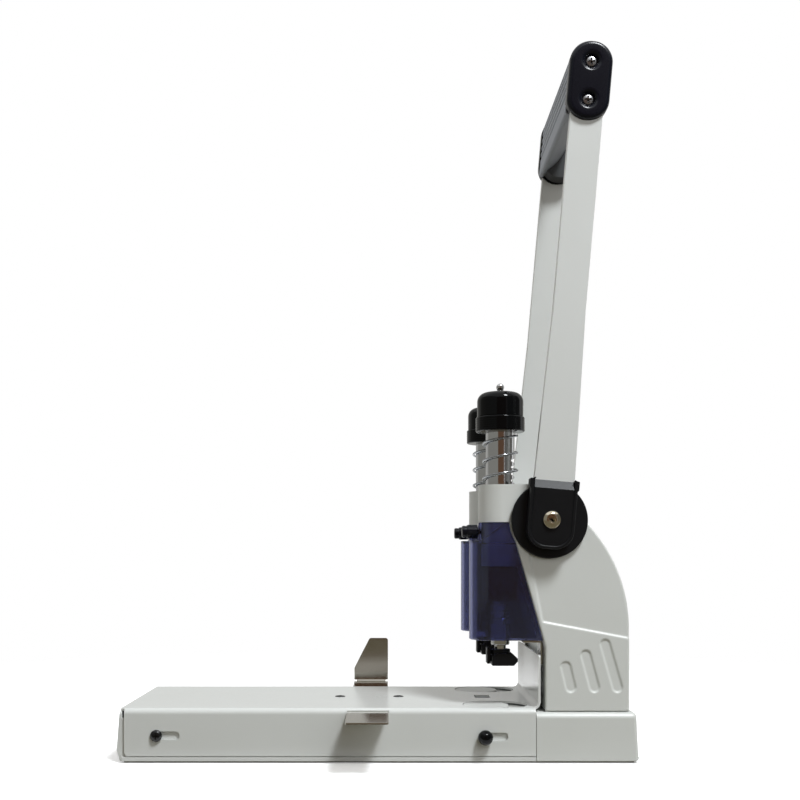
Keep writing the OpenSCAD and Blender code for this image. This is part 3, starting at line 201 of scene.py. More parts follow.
# the same for a table of (x, y, corner radius)
def softened(table, steps=6):
    return rounded([row[:2] for row in table], [row[2] for row in table], steps)


def ring(x, y, radius, steps):
    return [Vector((x + radius * math.cos(2 * math.pi * k / steps), y + radius * math.sin(2 * math.pi * k / steps)))
            for k in range(steps)]


# a hair under half the height keeps the straight sides of a slot
def slotLoop(x0, x1, y, height, steps=10, hair=0.001):
    return rounded(boxLoop(x0, y - height / 2, x1, y + height / 2), height / 2 - hair, steps)


def loopArea(loop):
    return sum(a[0] * b[1] - b[0] * a[1] for a, b in zip(loop, loop[1:] + loop[:1])) / 2


# moves a loop to its left, which is into the material; least keeps sharp corners from running away
def inset(loop, move, least=0.35):
    if not move:
        return loop
    shifted = []
    for i, point in enumerate(loop):
        u, v = (point - loop[i - 1]).normalized(), (loop[(i + 1) % len(loop)] - point).normalized()
        along = (u + v).normalized()
        left = Vector((-along.y, along.x))
        shifted.append(point + left * (move / max(least, left.dot(Vector((-u.y, u.x))))))
    return shifted


def fillLoop(bm, edges):
    bmesh.ops.triangle_fill(bm, use_beauty=True, use_dissolve=False, edges=edges)


# flat piece from an outline and its holes, with both rims rolled
def plate(loops, low, high, rimLow, rimHigh=None, steps=4):
    rimHigh = rimLow if rimHigh is None else rimHigh
    turns = [k / steps * math.pi / 2 for k in range(steps + 1)]
    levels = [(rimLow * (1 - math.cos(a)), low + rimLow * (1 - math.sin(a))) for a in reversed(turns)][
        :None if rimLow else 1]
    levels += [(rimHigh * (1 - math.cos(a)), high - rimHigh * (1 - math.sin(a))) for a in turns][
        0 if rimHigh else -1:]
    bm = bmesh.new()
    caps = [[], []]
    for number, loop in enumerate(loops):
        loop = [Vector((p[0], p[1])) for p in loop]
        if (loopArea(loop) > 0) != (number == 0):
            loop.reverse()
        rings = [[bm.verts.new((p.x * mm, p.y * mm, height * mm)) for p in inset(loop, move)]
                 for move, height in levels]
        for a, b in zip(rings, rings[1:]):
            for i in range(len(a)):
                bm.faces.new((a[i - 1], a[i], b[i], b[i - 1]))
        for cap, rim in zip(caps, (rings[0], rings[-1])):
            cap.extend(bm.edges.get((rim[i - 1], rim[i])) for i in range(len(rim)))
    for cap in caps:
        fillLoop(bm, cap)
    return bm


# turned piece from (radius, height) points that start and end on the axis, or a closed hoop of them
def lathe(profile, steps, hoop=False):
    bm = bmesh.new()
    angles = [2 * math.pi * k / steps for k in range(steps)]
    rings = [[bm.verts.new((r * mm * math.cos(a), r * mm * math.sin(a), h * mm))
              for a in (angles if r > 1e-6 else angles[:1])] for r, h in profile]
    for a, b in list(zip(rings, rings[1:])) + ([(rings[-1], rings[0])] if hoop else []):
        for k in range(steps):
            corners = [a[k % len(a)], a[(k + 1) % len(a)], b[(k + 1) % len(b)], b[k % len(b)]]
            bm.faces.new(list(dict.fromkeys(corners)))
    return bm


# softens the corners of a turned outline of (radius, height, corner radius)
def turned(outline, steps=5):
    return [(max(0, p.x), p.y) for p in softened(outline, steps)]


# the arc of a ball from its neck to just short of its pole
def ballArc(radius, centre, neck, steps):
    start = math.asin(neck / radius) - math.pi / 2
    return [(radius * math.cos(a), centre + radius * math.sin(a))
            for a in (start + (math.pi / 2 - start) * k / steps for k in range(steps))]


def upright(bm, side=1):
    for vert in bm.verts:
        x, z, y = vert.co
        vert.co = (x, y * side, z)
    return bm


# upright block of the given width from an outline of (x, z, corner radius)
def slab(outline, wide, rim):
    return upright(plate([softened(outline)], -wide / 2, wide / 2, rim))


def moved(bm, x=0, y=0, z=0, turn=None):
    matrix = Matrix.Translation((x * mm, y * mm, z * mm))
    bmesh.ops.transform(bm, matrix=matrix @ turn if turn else matrix, verts=bm.verts)
    return bm


def score(bm, place, normal, near=1e-7):
    bmesh.ops.bisect_plane(bm, geom=bm.verts[:] + bm.edges[:] + bm.faces[:], dist=near, plane_co=place,
                           plane_no=normal)


def meshOf(bm, name):
    mesh = bpy.data.meshes.new(name)
    bm.to_mesh(mesh)
    bm.free()
    return mesh


def shapeOf(mesh):
    bm = bmesh.new()
    bm.from_mesh(mesh)
    bpy.data.meshes.remove(mesh)
    return bm


def placed(name, data):
    thing = bpy.data.objects.new(name, data)
    scene.collection.objects.link(thing)
    return thing


def cleared(thing):
    mesh = thing.data
    bpy.data.objects.remove(thing)
    bpy.data.meshes.remove(mesh)


def joined(*parts):
    whole = bmesh.new()
    for part in parts:
        scratch = meshOf(part, "scratch")
        whole.from_mesh(scratch)
        bpy.data.meshes.remove(scratch)
    return whole


def outward(bm):
    bmesh.ops.recalc_face_normals(bm, faces=bm.faces)
    return bm


def addPiece(name, source, material, body, stands=(), slot=None, angle=38, weighted=True):
    if isinstance(source, bmesh.types.BMesh):
        bmesh.ops.remove_doubles(source, verts=source.verts, dist=1e-7)
        source = meshOf(outward(source), name)
    source.name = name
    piece = placed(name, source)
    source.materials.clear()
    source.materials.append(materials[material])
    source.shade_smooth()
    source.set_sharp_from_angle(angle=math.radians(angle))
    if weighted:
        piece.modifiers.new("faceWeight", "WEIGHTED_NORMAL").keep_sharp = True
    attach(piece, body)
    if stands:
        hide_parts(*stands)
    return piece


# a piece of one side, which stands for the node of the same name
def addSidePiece(name, kind, source, material, body, slot, **more):
    node = name + "".join("_" + c.lower() if c.isupper() else c for c in kind)
    return addPiece(name + kind, source, material, body, [node], slot, **more)


# a copy of a CAD piece with its sharp edges rolled
def softCopy(node, width, angle=40, flat=0.5, steps=2):
    bm = bmesh.new()
    bm.from_mesh(nodes[node].data)
    bmesh.ops.transform(bm, matrix=nodes[node].matrix_world, verts=bm.verts)
    bmesh.ops.remove_doubles(bm, verts=bm.verts, dist=1e-6)
    bmesh.ops.dissolve_limit(bm, angle_limit=math.radians(flat), verts=bm.verts, edges=bm.edges)
    rims = [e for e in bm.edges if len(e.link_faces) == 2 and e.calc_face_angle_signed(0) > math.radians(angle)]
    bmesh.ops.bevel(bm, geom=rims, offset=width * mm, segments=steps, profile=0.5, affect="EDGES",
                    clamp_overlap=True)
    bmesh.ops.triangulate(bm, faces=[f for f in bm.faces if len(f.verts) > 4])
    return bm


def frontX(z):
    return layout["columnFront"] - max(0, z - layout["leanZ"]) * layout["leanRate"]


def backX(z):
    return layout["columnBack"] - layout["backR"] + math.sqrt(
        layout["backR"] ** 2 - max(0, z - layout["backZ"]) ** 2)


def smooth(value):
    value = max(0, min(1, value))
    return value * value * (3 - 2 * value)


# gives back the plain mesh that a loose object's modifiers make, and clears the object away
def settled(scratch):
    bpy.context.view_layer.update()
    result = bpy.data.meshes.new_from_object(scratch.evaluated_get(bpy.context.evaluated_depsgraph_get()))
    cleared(scratch)
    return result


# runs modifiers on a loose shape
def shaped(bm, *stages):
    scratch = placed("scratch", meshOf(bm, "scratch"))
    for kind, settings in stages:
        modifier = scratch.modifiers.new(kind, kind)
        for key, value in settings.items():
            setattr(modifier, key, value)
    return settled(scratch)


# cuts an upright round hole through a loose shape
def drilled(bm, x, y, radius, low, high):
    tool = outward(moved(lathe([(0, low), (radius, low), (radius, high), (0, high)], 40), x, y))
    cutter = placed("cutter", meshOf(tool, "cutter"))
    mesh = shaped(outward(bm), ("BOOLEAN", dict(object=cutter, operation="DIFFERENCE", solver="EXACT")))
    cleared(cutter)
    return shapeOf(mesh)


# a node tree whose inputs are (name, kind, default), between a geometry and a material
def newTree(name, inputs):
    tree = bpy.data.node_groups.new(name, "GeometryNodeTree")
    for label, kind, default in [("Geometry", "Geometry", None), *inputs, ("Material", "Material", None)]:
        socket = tree.interface.new_socket(label, in_out="INPUT", socket_type="NodeSocket" + kind)
        if default is not None:
            socket.default_value = default
    tree.interface.new_socket("Geometry", in_out="OUTPUT", socket_type="NodeSocketGeometry")
    return tree, addNode(tree, "NodeGroupInput").outputs


# ends a tree with real geometry in its material
def closeTree(tree, given, geometry):
    real = addNode(tree, "GeometryNodeRealizeInstances", links={"Geometry": geometry})
    paint = addNode(tree, "GeometryNodeSetMaterial", links={"Geometry": real.outputs["Geometry"],
                    "Material": given["Material"]})
    addNode(tree, "NodeGroupOutput", links={"Geometry": paint.outputs["Geometry"]})


# runs a tree on a mesh with its inputs set by their identifiers
def grown(tree, source, values):
    scratch = placed("scratch", source)
    modifier = scratch.modifiers.new("grown", "NODES")
    modifier.node_group = tree
    for item in tree.interface.items_tree:
        if item.in_out == "INPUT" and item.name in values:
            modifier[item.identifier] = values[item.name]
    return shapeOf(settled(scratch))


# screws: one turned head with a cross cut in it, set on each point
screwTree, given = newTree("crossScrews", [
    ("Head", "Object", None), ("Tilt", "Vector", None), ("Face", "Float", 0.003), ("Cut Length", "Float", 0.005),
    ("Cut Width", "Float", 0.001), ("Cut Depth", "Float", 0.002)])
head = addNode(screwTree, "GeometryNodeObjectInfo", links={"Object": given["Head"]})
deep = addNode(screwTree, "ShaderNodeMath", {1: 2.0}, {0: given["Cut Depth"]}, operation="MULTIPLY")
lift = addNode(screwTree, "ShaderNodeCombineXYZ", links={"Z": given["Face"]})
cut = addNode(screwTree, "GeometryNodeMeshBoolean", links={"Mesh 1": head.outputs["Geometry"]},
              operation="DIFFERENCE")
for along, over in (("X", "Y"), ("Y", "X")):
    size = addNode(screwTree, "ShaderNodeCombineXYZ", links={along: given["Cut Length"], over: given["Cut Width"],
                   "Z": deep.outputs[0]})
    wing = addNode(screwTree, "GeometryNodeMeshCube", links={"Size": size.outputs[0]})
    sunk = addNode(screwTree, "GeometryNodeTransform", links={"Geometry": wing.outputs["Mesh"],
                   "Translation": lift.outputs[0]})
    screwTree.links.new(sunk.outputs["Geometry"], cut.inputs["Mesh 2"])
spin = addNode(screwTree, "FunctionNodeEulerToRotation", links={0: given["Tilt"]})
planted = addNode(screwTree, "GeometryNodeInstanceOnPoints", links={"Points": given["Geometry"],
                  "Instance": cut.outputs["Mesh"], "Rotation": spin.outputs[0]})
closeTree(screwTree, given, planted.outputs["Instances"])

# coil of round wire with its end turns drawn in
coilTree, given = newTree("wireCoil", [
    ("Turns", "Float", 3.0), ("Radius", "Float", 0.012), ("Wire", "Float", 0.0016), ("Height", "Float", 0.03),
    ("Draw In", "Float", 0.3), ("Steps", "Int", 40), ("Wire Steps", "Int", 14)])
spiral = addNode(coilTree, "GeometryNodeCurveSpiral", {"Height": 0.0, "Reverse": True}, {
    "Resolution": given["Steps"], "Rotations": given["Turns"], "Start Radius": given["Radius"],
    "End Radius": given["Radius"]})
share = addNode(coilTree, "GeometryNodeSplineParameter")
eased = addNode(coilTree, "ShaderNodeMapRange", links={"Value": share.outputs["Factor"]},
                interpolation_type="SMOOTHSTEP")
blend = addNode(coilTree, "ShaderNodeMix", links={0: given["Draw In"], 2: share.outputs["Factor"],
                3: eased.outputs["Result"]})
inner = addNode(coilTree, "ShaderNodeMath", links={0: given["Height"], 1: given["Wire"]}, operation="SUBTRACT")
rise = addNode(coilTree, "ShaderNodeMath", links={0: blend.outputs[0], 1: inner.outputs[0]}, operation="MULTIPLY")
thin = addNode(coilTree, "ShaderNodeMath", {1: 0.5}, {0: given["Wire"]}, operation="MULTIPLY")
level = addNode(coilTree, "ShaderNodeMath", links={0: rise.outputs[0], 1: thin.outputs[0]}, operation="ADD")
lift = addNode(coilTree, "ShaderNodeCombineXYZ", links={"Z": level.outputs[0]})
wound = addNode(coilTree, "GeometryNodeSetPosition", links={"Geometry": spiral.outputs["Curve"],
                "Offset": lift.outputs[0]})
section = addNode(coilTree, "GeometryNodeCurvePrimitiveCircle", links={"Resolution": given["Wire Steps"],
                  "Radius": thin.outputs[0]})
wire = addNode(coilTree, "GeometryNodeCurveToMesh", {"Fill Caps": True}, {"Curve": wound.outputs["Geometry"],
               "Profile Curve": section.outputs["Curve"]})
closeTree(coilTree, given, wire.outputs["Mesh"])

# finger ribs set round a knob
ribTree, given = newTree("knobRibs", [
    ("Count", "Int", 16), ("Radius", "Float", 0.0045), ("Rib", "Float", 0.0005), ("Length", "Float", 0.005),
    ("Rib Steps", "Int", 10)])
circle = addNode(ribTree, "GeometryNodeMeshCircle", links={"Vertices": given["Count"], "Radius": given["Radius"]})
bar = addNode(ribTree, "GeometryNodeMeshCylinder", links={"Vertices": given["Rib Steps"], "Radius": given["Rib"],
              "Depth": given["Length"]})
around = addNode(ribTree, "GeometryNodeInstanceOnPoints", links={"Points": circle.outputs["Mesh"],
                 "Instance": bar.outputs["Mesh"]})
closeTree(ribTree, given, around.outputs["Instances"])


# screws on points (mm) turned by tilt; the head's outline is (radius, height, corner radius) from shank to face
def screws(form, points, tilt, material):
    head = placed("head", meshOf(outward(lathe(turned(form["outline"], 4), 40)), "head"))
    head.data.materials.append(materials[material])
    spots = bpy.data.meshes.new("spots")
    spots.from_pydata([[c * mm for c in p] for p in points], [], [])
    length, width, depth = (c * mm for c in form["cut"])
    heads = grown(screwTree, spots, {"Head": head, "Tilt": tilt, "Face": form["face"] * mm, "Cut Length": length,
                  "Cut Width": width, "Cut Depth": depth, "Material": materials[material]})
    cleared(head)
    return heads


print("tools ready")

tableForm = dict(half=60.5, bend=4, end=-178.7, endWrap=1.5, endRound=1, skirtEnd=-176, skirtBack=108.2,
                 skirtLow=4.8, skirtRound=3, backRound=1, stopX=110.5, stopTop=74, stopRound=2, stopRoot=103,
                 relief=0.5, lip=0.01, sheet=1.5, steps=8, slotHigh=5.8, slotRun=13.1, guide=(-153.7, 19),
                 clamp=(73, 18.2), discX=75.5, discOpening=33.2, discSteps=16, slide=12.8, window=(76.5, 11.5, 14),
                 slit=(1.55, 9, 3.2), windowRound=0.5, screws=(-29.5, 14.0), screwHole=8.2,
                 gauge=(-22.3, 6.8, 34.3, 36.1), rim=0.3, rimAngle=60)


def tableBend(u, v):
    bend, top = tableForm["bend"], layout["tableZ"]
    flat, arc = tableForm["half"] - bend, bend * math.pi / 2
    over, along = abs(v) - flat, u - tableForm["stopX"] + bend
    if over > 1e-6:
        turn = min(over, arc) / bend
        return (u, math.copysign(flat + bend * math.sin(turn), v),
                top - bend * (1 - math.cos(turn)) - max(0, over - arc))
    if along > 0:
        turn = min(along, arc) / bend
        return (u - along + bend * math.sin(turn), v, top + bend * (1 - math.cos(turn)) + max(0, along - arc))
    return (u, v, top)


# flat pattern of the cover, cut along the bend lines, then folded and given its thickness
def tableSheet():
    t, top = tableForm, layout["tableZ"]
    bend, steps = t["bend"], t["steps"]
    flat, arc = t["half"] - bend, bend * math.pi / 2
    drop = flat + arc + top - bend
    low, lip, inner, wrap = drop - t["skirtLow"], flat + t["lip"], flat - t["relief"], flat + t["endWrap"]
    stopEnd = t["stopX"] - bend + arc + t["stopTop"] - top - bend
    right = [(t["skirtEnd"], -low, t["skirtRound"]), (t["skirtBack"], -low, t["backRound"]),
             (t["skirtBack"], -lip, 0), (t["stopRoot"], -lip, 0), (t["stopRoot"], -inner, 0),
             (stopEnd, -inner, t["stopRound"])]
    left = [(t["end"], -wrap, t["endRound"]), (t["skirtEnd"], -wrap, 0)]
    loops = [softened(right + [(x, -y, c) for rows in (right, left) for x, y, c in reversed(rows)] + left)]
    x0, x1, *heights = t["gauge"]
    y0, y1 = (flat + bend * math.acos((z - top + bend) / bend) for z in heights)
    for side in sides.values():
        loops.append(slotLoop(t["discX"] - t["discOpening"] / 2, t["discX"] + t["slide"] + t["discOpening"] / 2,
                              side * layout["punchY"], t["discOpening"], t["discSteps"]))
        for x, z in (t["guide"], t["clamp"]):
            loops.append(slotLoop(x - t["slotHigh"] / 2, x + t["slotRun"] + t["slotHigh"] / 2, side * (drop - z),
                                  t["slotHigh"]))
        loops.append(rounded(boxLoop(x0, side * y0, x1, side * y1), t["windowRound"], 3))
    for x, wide, deep in (t["window"], t["slit"]):
        loops.append(rounded(boxLoop(x - wide / 2, -deep / 2, x + wide / 2, deep / 2), t["windowRound"], 3))
    loops += [ring(x, 0, t["screwHole"] / 2, 28) for x in t["screws"]]
    bm = bmesh.new()
    edges = []
    for loop in loops:
        verts = [bm.verts.new((p[0], p[1], 0)) for p in loop]
        edges += [bm.edges.new((verts[i - 1], verts[i])) for i in range(len(verts))]
    fillLoop(bm, edges)
    lines = [((0, side * (flat + arc * k / steps), 0), (0, 1, 0)) for k in range(steps + 1) for side in (-1, 1)]
    lines += [((t["stopX"] - bend + arc * k / steps, 0, 0), (1, 0, 0)) for k in range(steps + 1)]
    for place, normal in lines:
        score(bm, place, normal, 1e-5)
    outward(bm)
    if max(bm.faces, key=lambda f: f.calc_area()).normal.z < 0:
        bmesh.ops.reverse_faces(bm, faces=bm.faces)
    for vert in bm.verts:
        vert.co = Vector(tableBend(vert.co.x, vert.co.y)) * mm
    return shaped(bm, ("SOLIDIFY", dict(thickness=t["sheet"] * mm, offset=-1, use_even_offset=True)),
                  ("BEVEL", dict(width=t["rim"] * mm, segments=2, limit_method="ANGLE",
                                 angle_limit=math.radians(t["rimAngle"]))))


addPiece("tableSheet", tableSheet(), "whiteEnamel", "table", ["table_cover"], "white_enamel")
print("table folded")

rulerForm = dict(x=(-22, 6.5), start=-109, finY=106.2, z=34.6, thick=1.2, bend=3.4, bendSteps=8, top=72.3,
                 topWidth=15.5, shoulder=47, shoulderRound=4, corner=2, notch=2.1, notchHalf=1.2, notchRound=0.6,
                 rim=0.25)


# straight strip with its far end bent up into the pointer
def rulerStrip():
    r = rulerForm
    (x0, x1), corner, dent, dentRound = r["x"], r["corner"], r["notch"], r["notchRound"]
    yc, zc, mid = r["finY"] - r["bend"], r["z"] + r["bend"], r["bend"] - r["thick"] / 2
    arc = mid * math.pi / 2
    up = yc + arc - zc
    low, high = (yc + mid * math.pi / 4 + way * r["notchHalf"] for way in (-1, 1))
    outline = softened([
        (x0, r["start"], corner), (x1, r["start"], corner), (x1, low, 0), (x1 - dent, low, dentRound),
        (x1 - dent, high, dentRound), (x1, high, 0), (x1, up + r["top"], corner),
        (x1 - r["topWidth"], up + r["top"], corner), (x0, up + r["shoulder"], r["shoulderRound"]), (x0, high, 0),
        (x0 + dent, high, dentRound), (x0 + dent, low, dentRound), (x0, low, 0)], 5)
    bm = plate([outline], 0, r["thick"], r["rim"], steps=2)
    for k in range(r["bendSteps"] + 1):
        score(bm, (0, (yc + arc * k / r["bendSteps"]) * mm, 0), (0, 1, 0))
    for vert in bm.verts:
        x, along, height = (c / mm for c in vert.co)
        turn = max(0, min(along - yc, arc)) / mid
        reach = r["bend"] - height
        rise = max(0, along - yc - arc)
        vert.co = Vector((x, min(along, yc) + reach * math.sin(turn), zc - reach * math.cos(turn) + rise)) * mm
    return bm


addPiece("gaugeRuler", rulerStrip(), "brushedSteel", "gauge", ["gauge_ruler"], "chrome")

baseForm = dict(x=(108.5, 179.3), draft=1.6, low=1.2, top=34.8, half=61, foot=0.6, roll=4.2, rims=(0.3, 2.8),
                anvil=(55.5, 108.6, 56.9, 2.7, 30), anvilRound=(3, 0.5), anvilRim=0.8, pad=54, padSunk=0.2,
                padRim=0.4, pocket=(75.5, 16.6), pocketSteps=48)


# plinth with a raked back, and before it the anvil with a pad that is bitten out for the discs
def bedCasting():
    b = baseForm
    (xa, xb), low, top, half, pad = b["x"], b["low"], b["top"], b["half"], b["pad"]
    plinth = plate([rounded(boxLoop(-half, low, half, top), [b["foot"]] * 2 + [b["roll"]] * 2, 8)], xa, xb,
                   *b["rims"])
    for vert in plinth.verts:
        y, z, x = vert.co
        lean = (z / mm - low) / (top - low) * (x / mm - xa) / (xb - xa)
        vert.co = (x - lean * b["draft"] * mm, y, z)
    x0, x1, half, z0, z1 = b["anvil"]
    front, back = b["anvilRound"]
    anvil = plate([rounded(boxLoop(x0, -half, x1, half), [front, back, back, front])], z0, z1, b["anvilRim"])
    discX, bite = b["pocket"]
    gape = math.acos((pad - layout["punchY"]) / bite)
    turns = [gape + (2 * math.pi - 2 * gape) * k / b["pocketSteps"] for k in range(b["pocketSteps"] + 1)]
    flank = [(x1, pad)] + [(discX + bite * math.sin(a), layout["punchY"] + bite * math.cos(a)) for a in turns]
    flank.append((x0, pad))
    return joined(plinth, anvil, plate([flank + [(x, -y) for x, y in reversed(flank)]], z1 - b["padSunk"], top, 0,
                                       b["padRim"], 2))


addPiece("plinthCasting", bedCasting(), "shellEnamel", "frame", ["bed_casting"], "white_enamel")
addPiece("basePan", softCopy("base_pan", 0.3), "whiteEnamel", "frame", ["base_pan"], "white_enamel")
print("base built")

coverForm = dict(sheet=2.5, least=0.4, step=1.0, border=3, widen=0.08, ledge=(97, 86), ramp=1.8, roll=1.4,
                 backRoll=1.5, ventX=(132.6, 149, 164.9), ventLow=48.6, ventHigh=(21, 29, 36.5),
                 ventLean=(3.5, 6, 8.5), ventWidth=6.8, ventDeep=0.9, ventRamp=1.5, mesh=0.62, rimShare=0.04)


def coverHeight(x, z):
    c, g = coverForm, layout
    slope = (c["ledge"][1] - c["ledge"][0]) / (g["columnBack"] - g["columnFront"])
    below = (c["ledge"][0] + slope * (x - g["columnFront"]) - z) / math.hypot(1, slope)
    ahead = frontX(z) + c["border"] + c["widen"] * max(0, z - c["ledge"][0]) - x
    raised = 1 - (1 - smooth(below / c["ramp"] + 0.5)) * (1 - smooth(ahead / c["ramp"] + 0.5))
    sunk, point, radius = 0, Vector((x, z)), c["ventWidth"] / 2
    for ventX, high, lean in zip(c["ventX"], c["ventHigh"], c["ventLean"]):
        foot = Vector((ventX, c["ventLow"] + radius))
        run = Vector((ventX - lean, c["ventLow"] + high - radius)) - foot
        share = max(0, min(1, (point - foot).dot(run) / run.length_squared))
        sunk = max(sunk, smooth((radius - (point - foot - run * share).length) / c["ventRamp"] + 0.5))
    height = c["sheet"] - c["step"] * (1 - raised) - c["ventDeep"] * sunk
    for gap, roll in ((x - frontX(z), c["roll"]), (z - g["coverZ"], c["roll"]), (backX(z) - x, c["backRoll"])):
        if gap < roll:
            height -= roll - math.sqrt(max(0, roll ** 2 - (roll - max(0, gap)) ** 2))
    return max(c["least"], height)


# distances from one rim to the other, close together at both
def spacing(length, roll, step, near=(0, 0.03, 0.1, 0.22, 0.4, 0.62, 0.85, 1.0)):
    count = max(2, round((length - 2 * roll) / step))
    return ([n * roll for n in near] + [roll + (length - 2 * roll) * k / count for k in range(1, count)]
            + [length - n * roll for n in reversed(near)])


def sideCover(side):
    c, g = coverForm, layout
    columns = spacing(1, c["rimShare"], c["mesh"] / (g["columnBack"] - g["columnFront"]))
    bm = bmesh.new()
    grid = []
    for row in spacing(g["coverTop"] - g["coverZ"], c["backRoll"], c["mesh"]):
        z = g["coverZ"] + row
        x0, x1 = frontX(z), backX(z)
        grid.append([bm.verts.new((x * mm, side * (g["castHalf"] + coverHeight(x, z)) * mm, z * mm))
                     for x in (x0 + (x1 - x0) * u for u in columns)])
    for lower, upper in zip(grid, grid[1:]):
        for i in range(1, len(lower)):
            bm.faces.new((lower[i - 1], lower[i], upper[i], upper[i - 1]))
    border = grid[0] + [r[-1] for r in grid[1:-1]] + grid[-1][::-1] + [r[0] for r in grid[-2:0:-1]]
    foot = [bm.verts.new((v.co.x, side * g["castHalf"] * mm, v.co.z)) for v in border]
    for i in range(len(border)):
        bm.faces.new((border[i - 1], border[i], foot[i], foot[i - 1]))
    fillLoop(bm, [bm.edges.get((foot[i - 1], foot[i])) for i in range(len(foot))])
    return bm


skinForm = dict(thick=2.2, top=163.5, rim=0.5, steps=40)


def backSkin():
    low, steps, half = layout["coverZ"], skinForm["steps"], layout["castHalf"]
    levels = [low + (skinForm["top"] - low) * k / steps for k in range(steps + 1)]
    arch = [(backX(z), z) for z in levels] + [(backX(z) - skinForm["thick"], z) for z in reversed(levels)]
    return upright(plate([arch], -half, half, skinForm["rim"]))


for name, side in sides.items():
    addSidePiece(name, "SideCover", sideCover(side), "shellEnamel", "frame", "white_enamel")
addPiece("backCover", backSkin(), "shellEnamel", "frame", ["back_cover"], "white_enamel")
addPiece("frontCover", softCopy("front_cover", 0.4), "shellEnamel", "frame", ["front_cover"], "white_enamel")
# the towers run on as sleeves round the chucks, behind the guards: (radius, height, corner radius)
sleeveForm = [(11.1, 135.6, 0.3), (13.4, 135.6, 0.6), (13.4, 151, 0.2), (11.1, 151, 0.2)]
sleeves = [moved(lathe(turned(sleeveForm), 64, True), layout["punchX"], side * layout["punchY"])
           for side in sides.values()]
addPiece("headCasting", joined(softCopy("head_casting", 0.7), *sleeves), "shellEnamel", "frame", ["head_casting"],
         "white_enamel")
addPiece("guardBrackets", softCopy("guard_brackets", 0.3), "brushedSteel", "frame", ["guard_brackets"], "steel")
print("column clad")

guardForm = dict(plan=79.7, radius=16, wall=2.2, low=84, top=166.2, slant=((72, 154), (87.7, 166.2)), gap=0.3,
                 barrel=27.55, rows=28, sideSteps=12, frontSteps=28, passes=8, rim=0.5, rimAngle=50,
                 cheek=(13.95, 15.3, 71.5, 88.4), cheekSteps=14, cheekSunk=0.6, cheekLeast=0.2, lugWide=12,
                 lug=[(66.4, 151.8, 0.4), (72, 151.8, 1.2), (72, 166.2, 0.6), (69.8, 166.2, 0.6), (69.8, 154, 1.0),
                      (66.4, 154, 0.4)])


def guardTop(x):
    (xa, za), (xb, zb) = guardForm["slant"]
    return za + (zb - za) * max(0, min(1, (x - xa) / (xb - xa)))


def guardRear(z):
    free = math.sqrt(max(0, guardForm["barrel"] ** 2 - (z - layout["pivotZ"]) ** 2))
    return min(frontX(z) - guardForm["gap"], layout["pivotX"] - free)


# the sides above the slant, a little inside the flanks
def guardCheek(flank):
    g = guardForm
    inner, outer, x0, x1 = g["cheek"]
    bm = bmesh.new()
    posts = []
    for k in range(g["cheekSteps"] + 1):
        x = x0 + (x1 - x0) * k / g["cheekSteps"]
        low = guardTop(x) - g["cheekSunk"]
        high = max(low + g["cheekLeast"], g["top"])
        post = []
        for radius, heights in ((outer, (low, high)), (inner, (high, low))):
            y = flank * math.sqrt(radius ** 2 - max(0, g["plan"] - x) ** 2)
            post += [bm.verts.new((x * mm, y * mm, z * mm)) for z in heights]
        posts.append(post)
    for a, b in zip(posts, posts[1:]):
        for i in range(len(a)):
            bm.faces.new((a[i - 1], a[i], b[i], b[i - 1]))
    bm.faces.new(posts[0])
    bm.faces.new(posts[-1])
    return bm


# a point of the sheet: the slant and the raked rear depend on each other, so both are closed in on
def guardPoint(radius, flank, share, turn, row):
    g = guardForm
    z = g["low"] + (g["top"] - g["low"]) * row / g["rows"]
    for k in range(g["passes"]):
        if flank:
            x, y = g["plan"] + share * (guardRear(z) - g["plan"]), flank * radius
        else:
            x, y = g["plan"] - radius * math.sin(math.pi * turn), radius * math.cos(math.pi * turn)
        z = g["low"] + (guardTop(x) - g["low"]) * row / g["rows"]
    return Vector((x, y, z)) * mm


# bent clear sheet: two flanks and a round front, cut on a slant above
def guardShell(side):
    g = guardForm
    steps = g["sideSteps"]
    rails = [(1, k / steps, 0) for k in range(steps, 0, -1)]
    rails += [(0, 0, k / g["frontSteps"]) for k in range(g["frontSteps"] + 1)]
    rails += [(-1, k / steps, 0) for k in range(1, steps + 1)]
    bm = bmesh.new()
    skins = []
    for radius in (g["radius"], g["radius"] - g["wall"]):
        skin = [[bm.verts.new(guardPoint(radius, *rail, row)) for row in range(g["rows"] + 1)] for rail in rails]
        for a, b in zip(skin, skin[1:]):
            for i in range(1, len(a)):
                bm.faces.new((a[i - 1], a[i], b[i], b[i - 1]))
        skins.append([p[0] for p in skin] + skin[-1][1:] + [p[-1] for p in skin[-2::-1]] + skin[0][-2:0:-1])
    outer, inner = skins
    for i in range(len(outer)):
        bm.faces.new((outer[i - 1], outer[i], inner[i], inner[i - 1]))
    shell = shaped(moved(outward(bm), y=side * layout["punchY"]), (
        "BEVEL", dict(width=g["rim"] * mm, segments=2, limit_method="ANGLE",
                      angle_limit=math.radians(g["rimAngle"]))))
    fittings = [slab(g["lug"], g["lugWide"], g["rim"])] + [guardCheek(flank) for flank in (-1, 1)]
    return joined(shapeOf(shell), *(moved(part, y=side * layout["punchY"]) for part in fittings))


knobForm = dict(z=160, ribs=24, ribR=4.7, rib=0.15, ribX=65.75, ribLong=5.9,
                outline=[(0, 58.5, 0), (4.15, 58.5, 0.9), (4.15, 61.2, 0.2), (4, 61.2, 0.1), (4, 62, 0.1),
                         (4.7, 62, 0.4), (4.7, 69.5, 0.5), (1.95, 69.5, 0), (1.95, 75.2, 0.3), (0, 75.2, 0)])


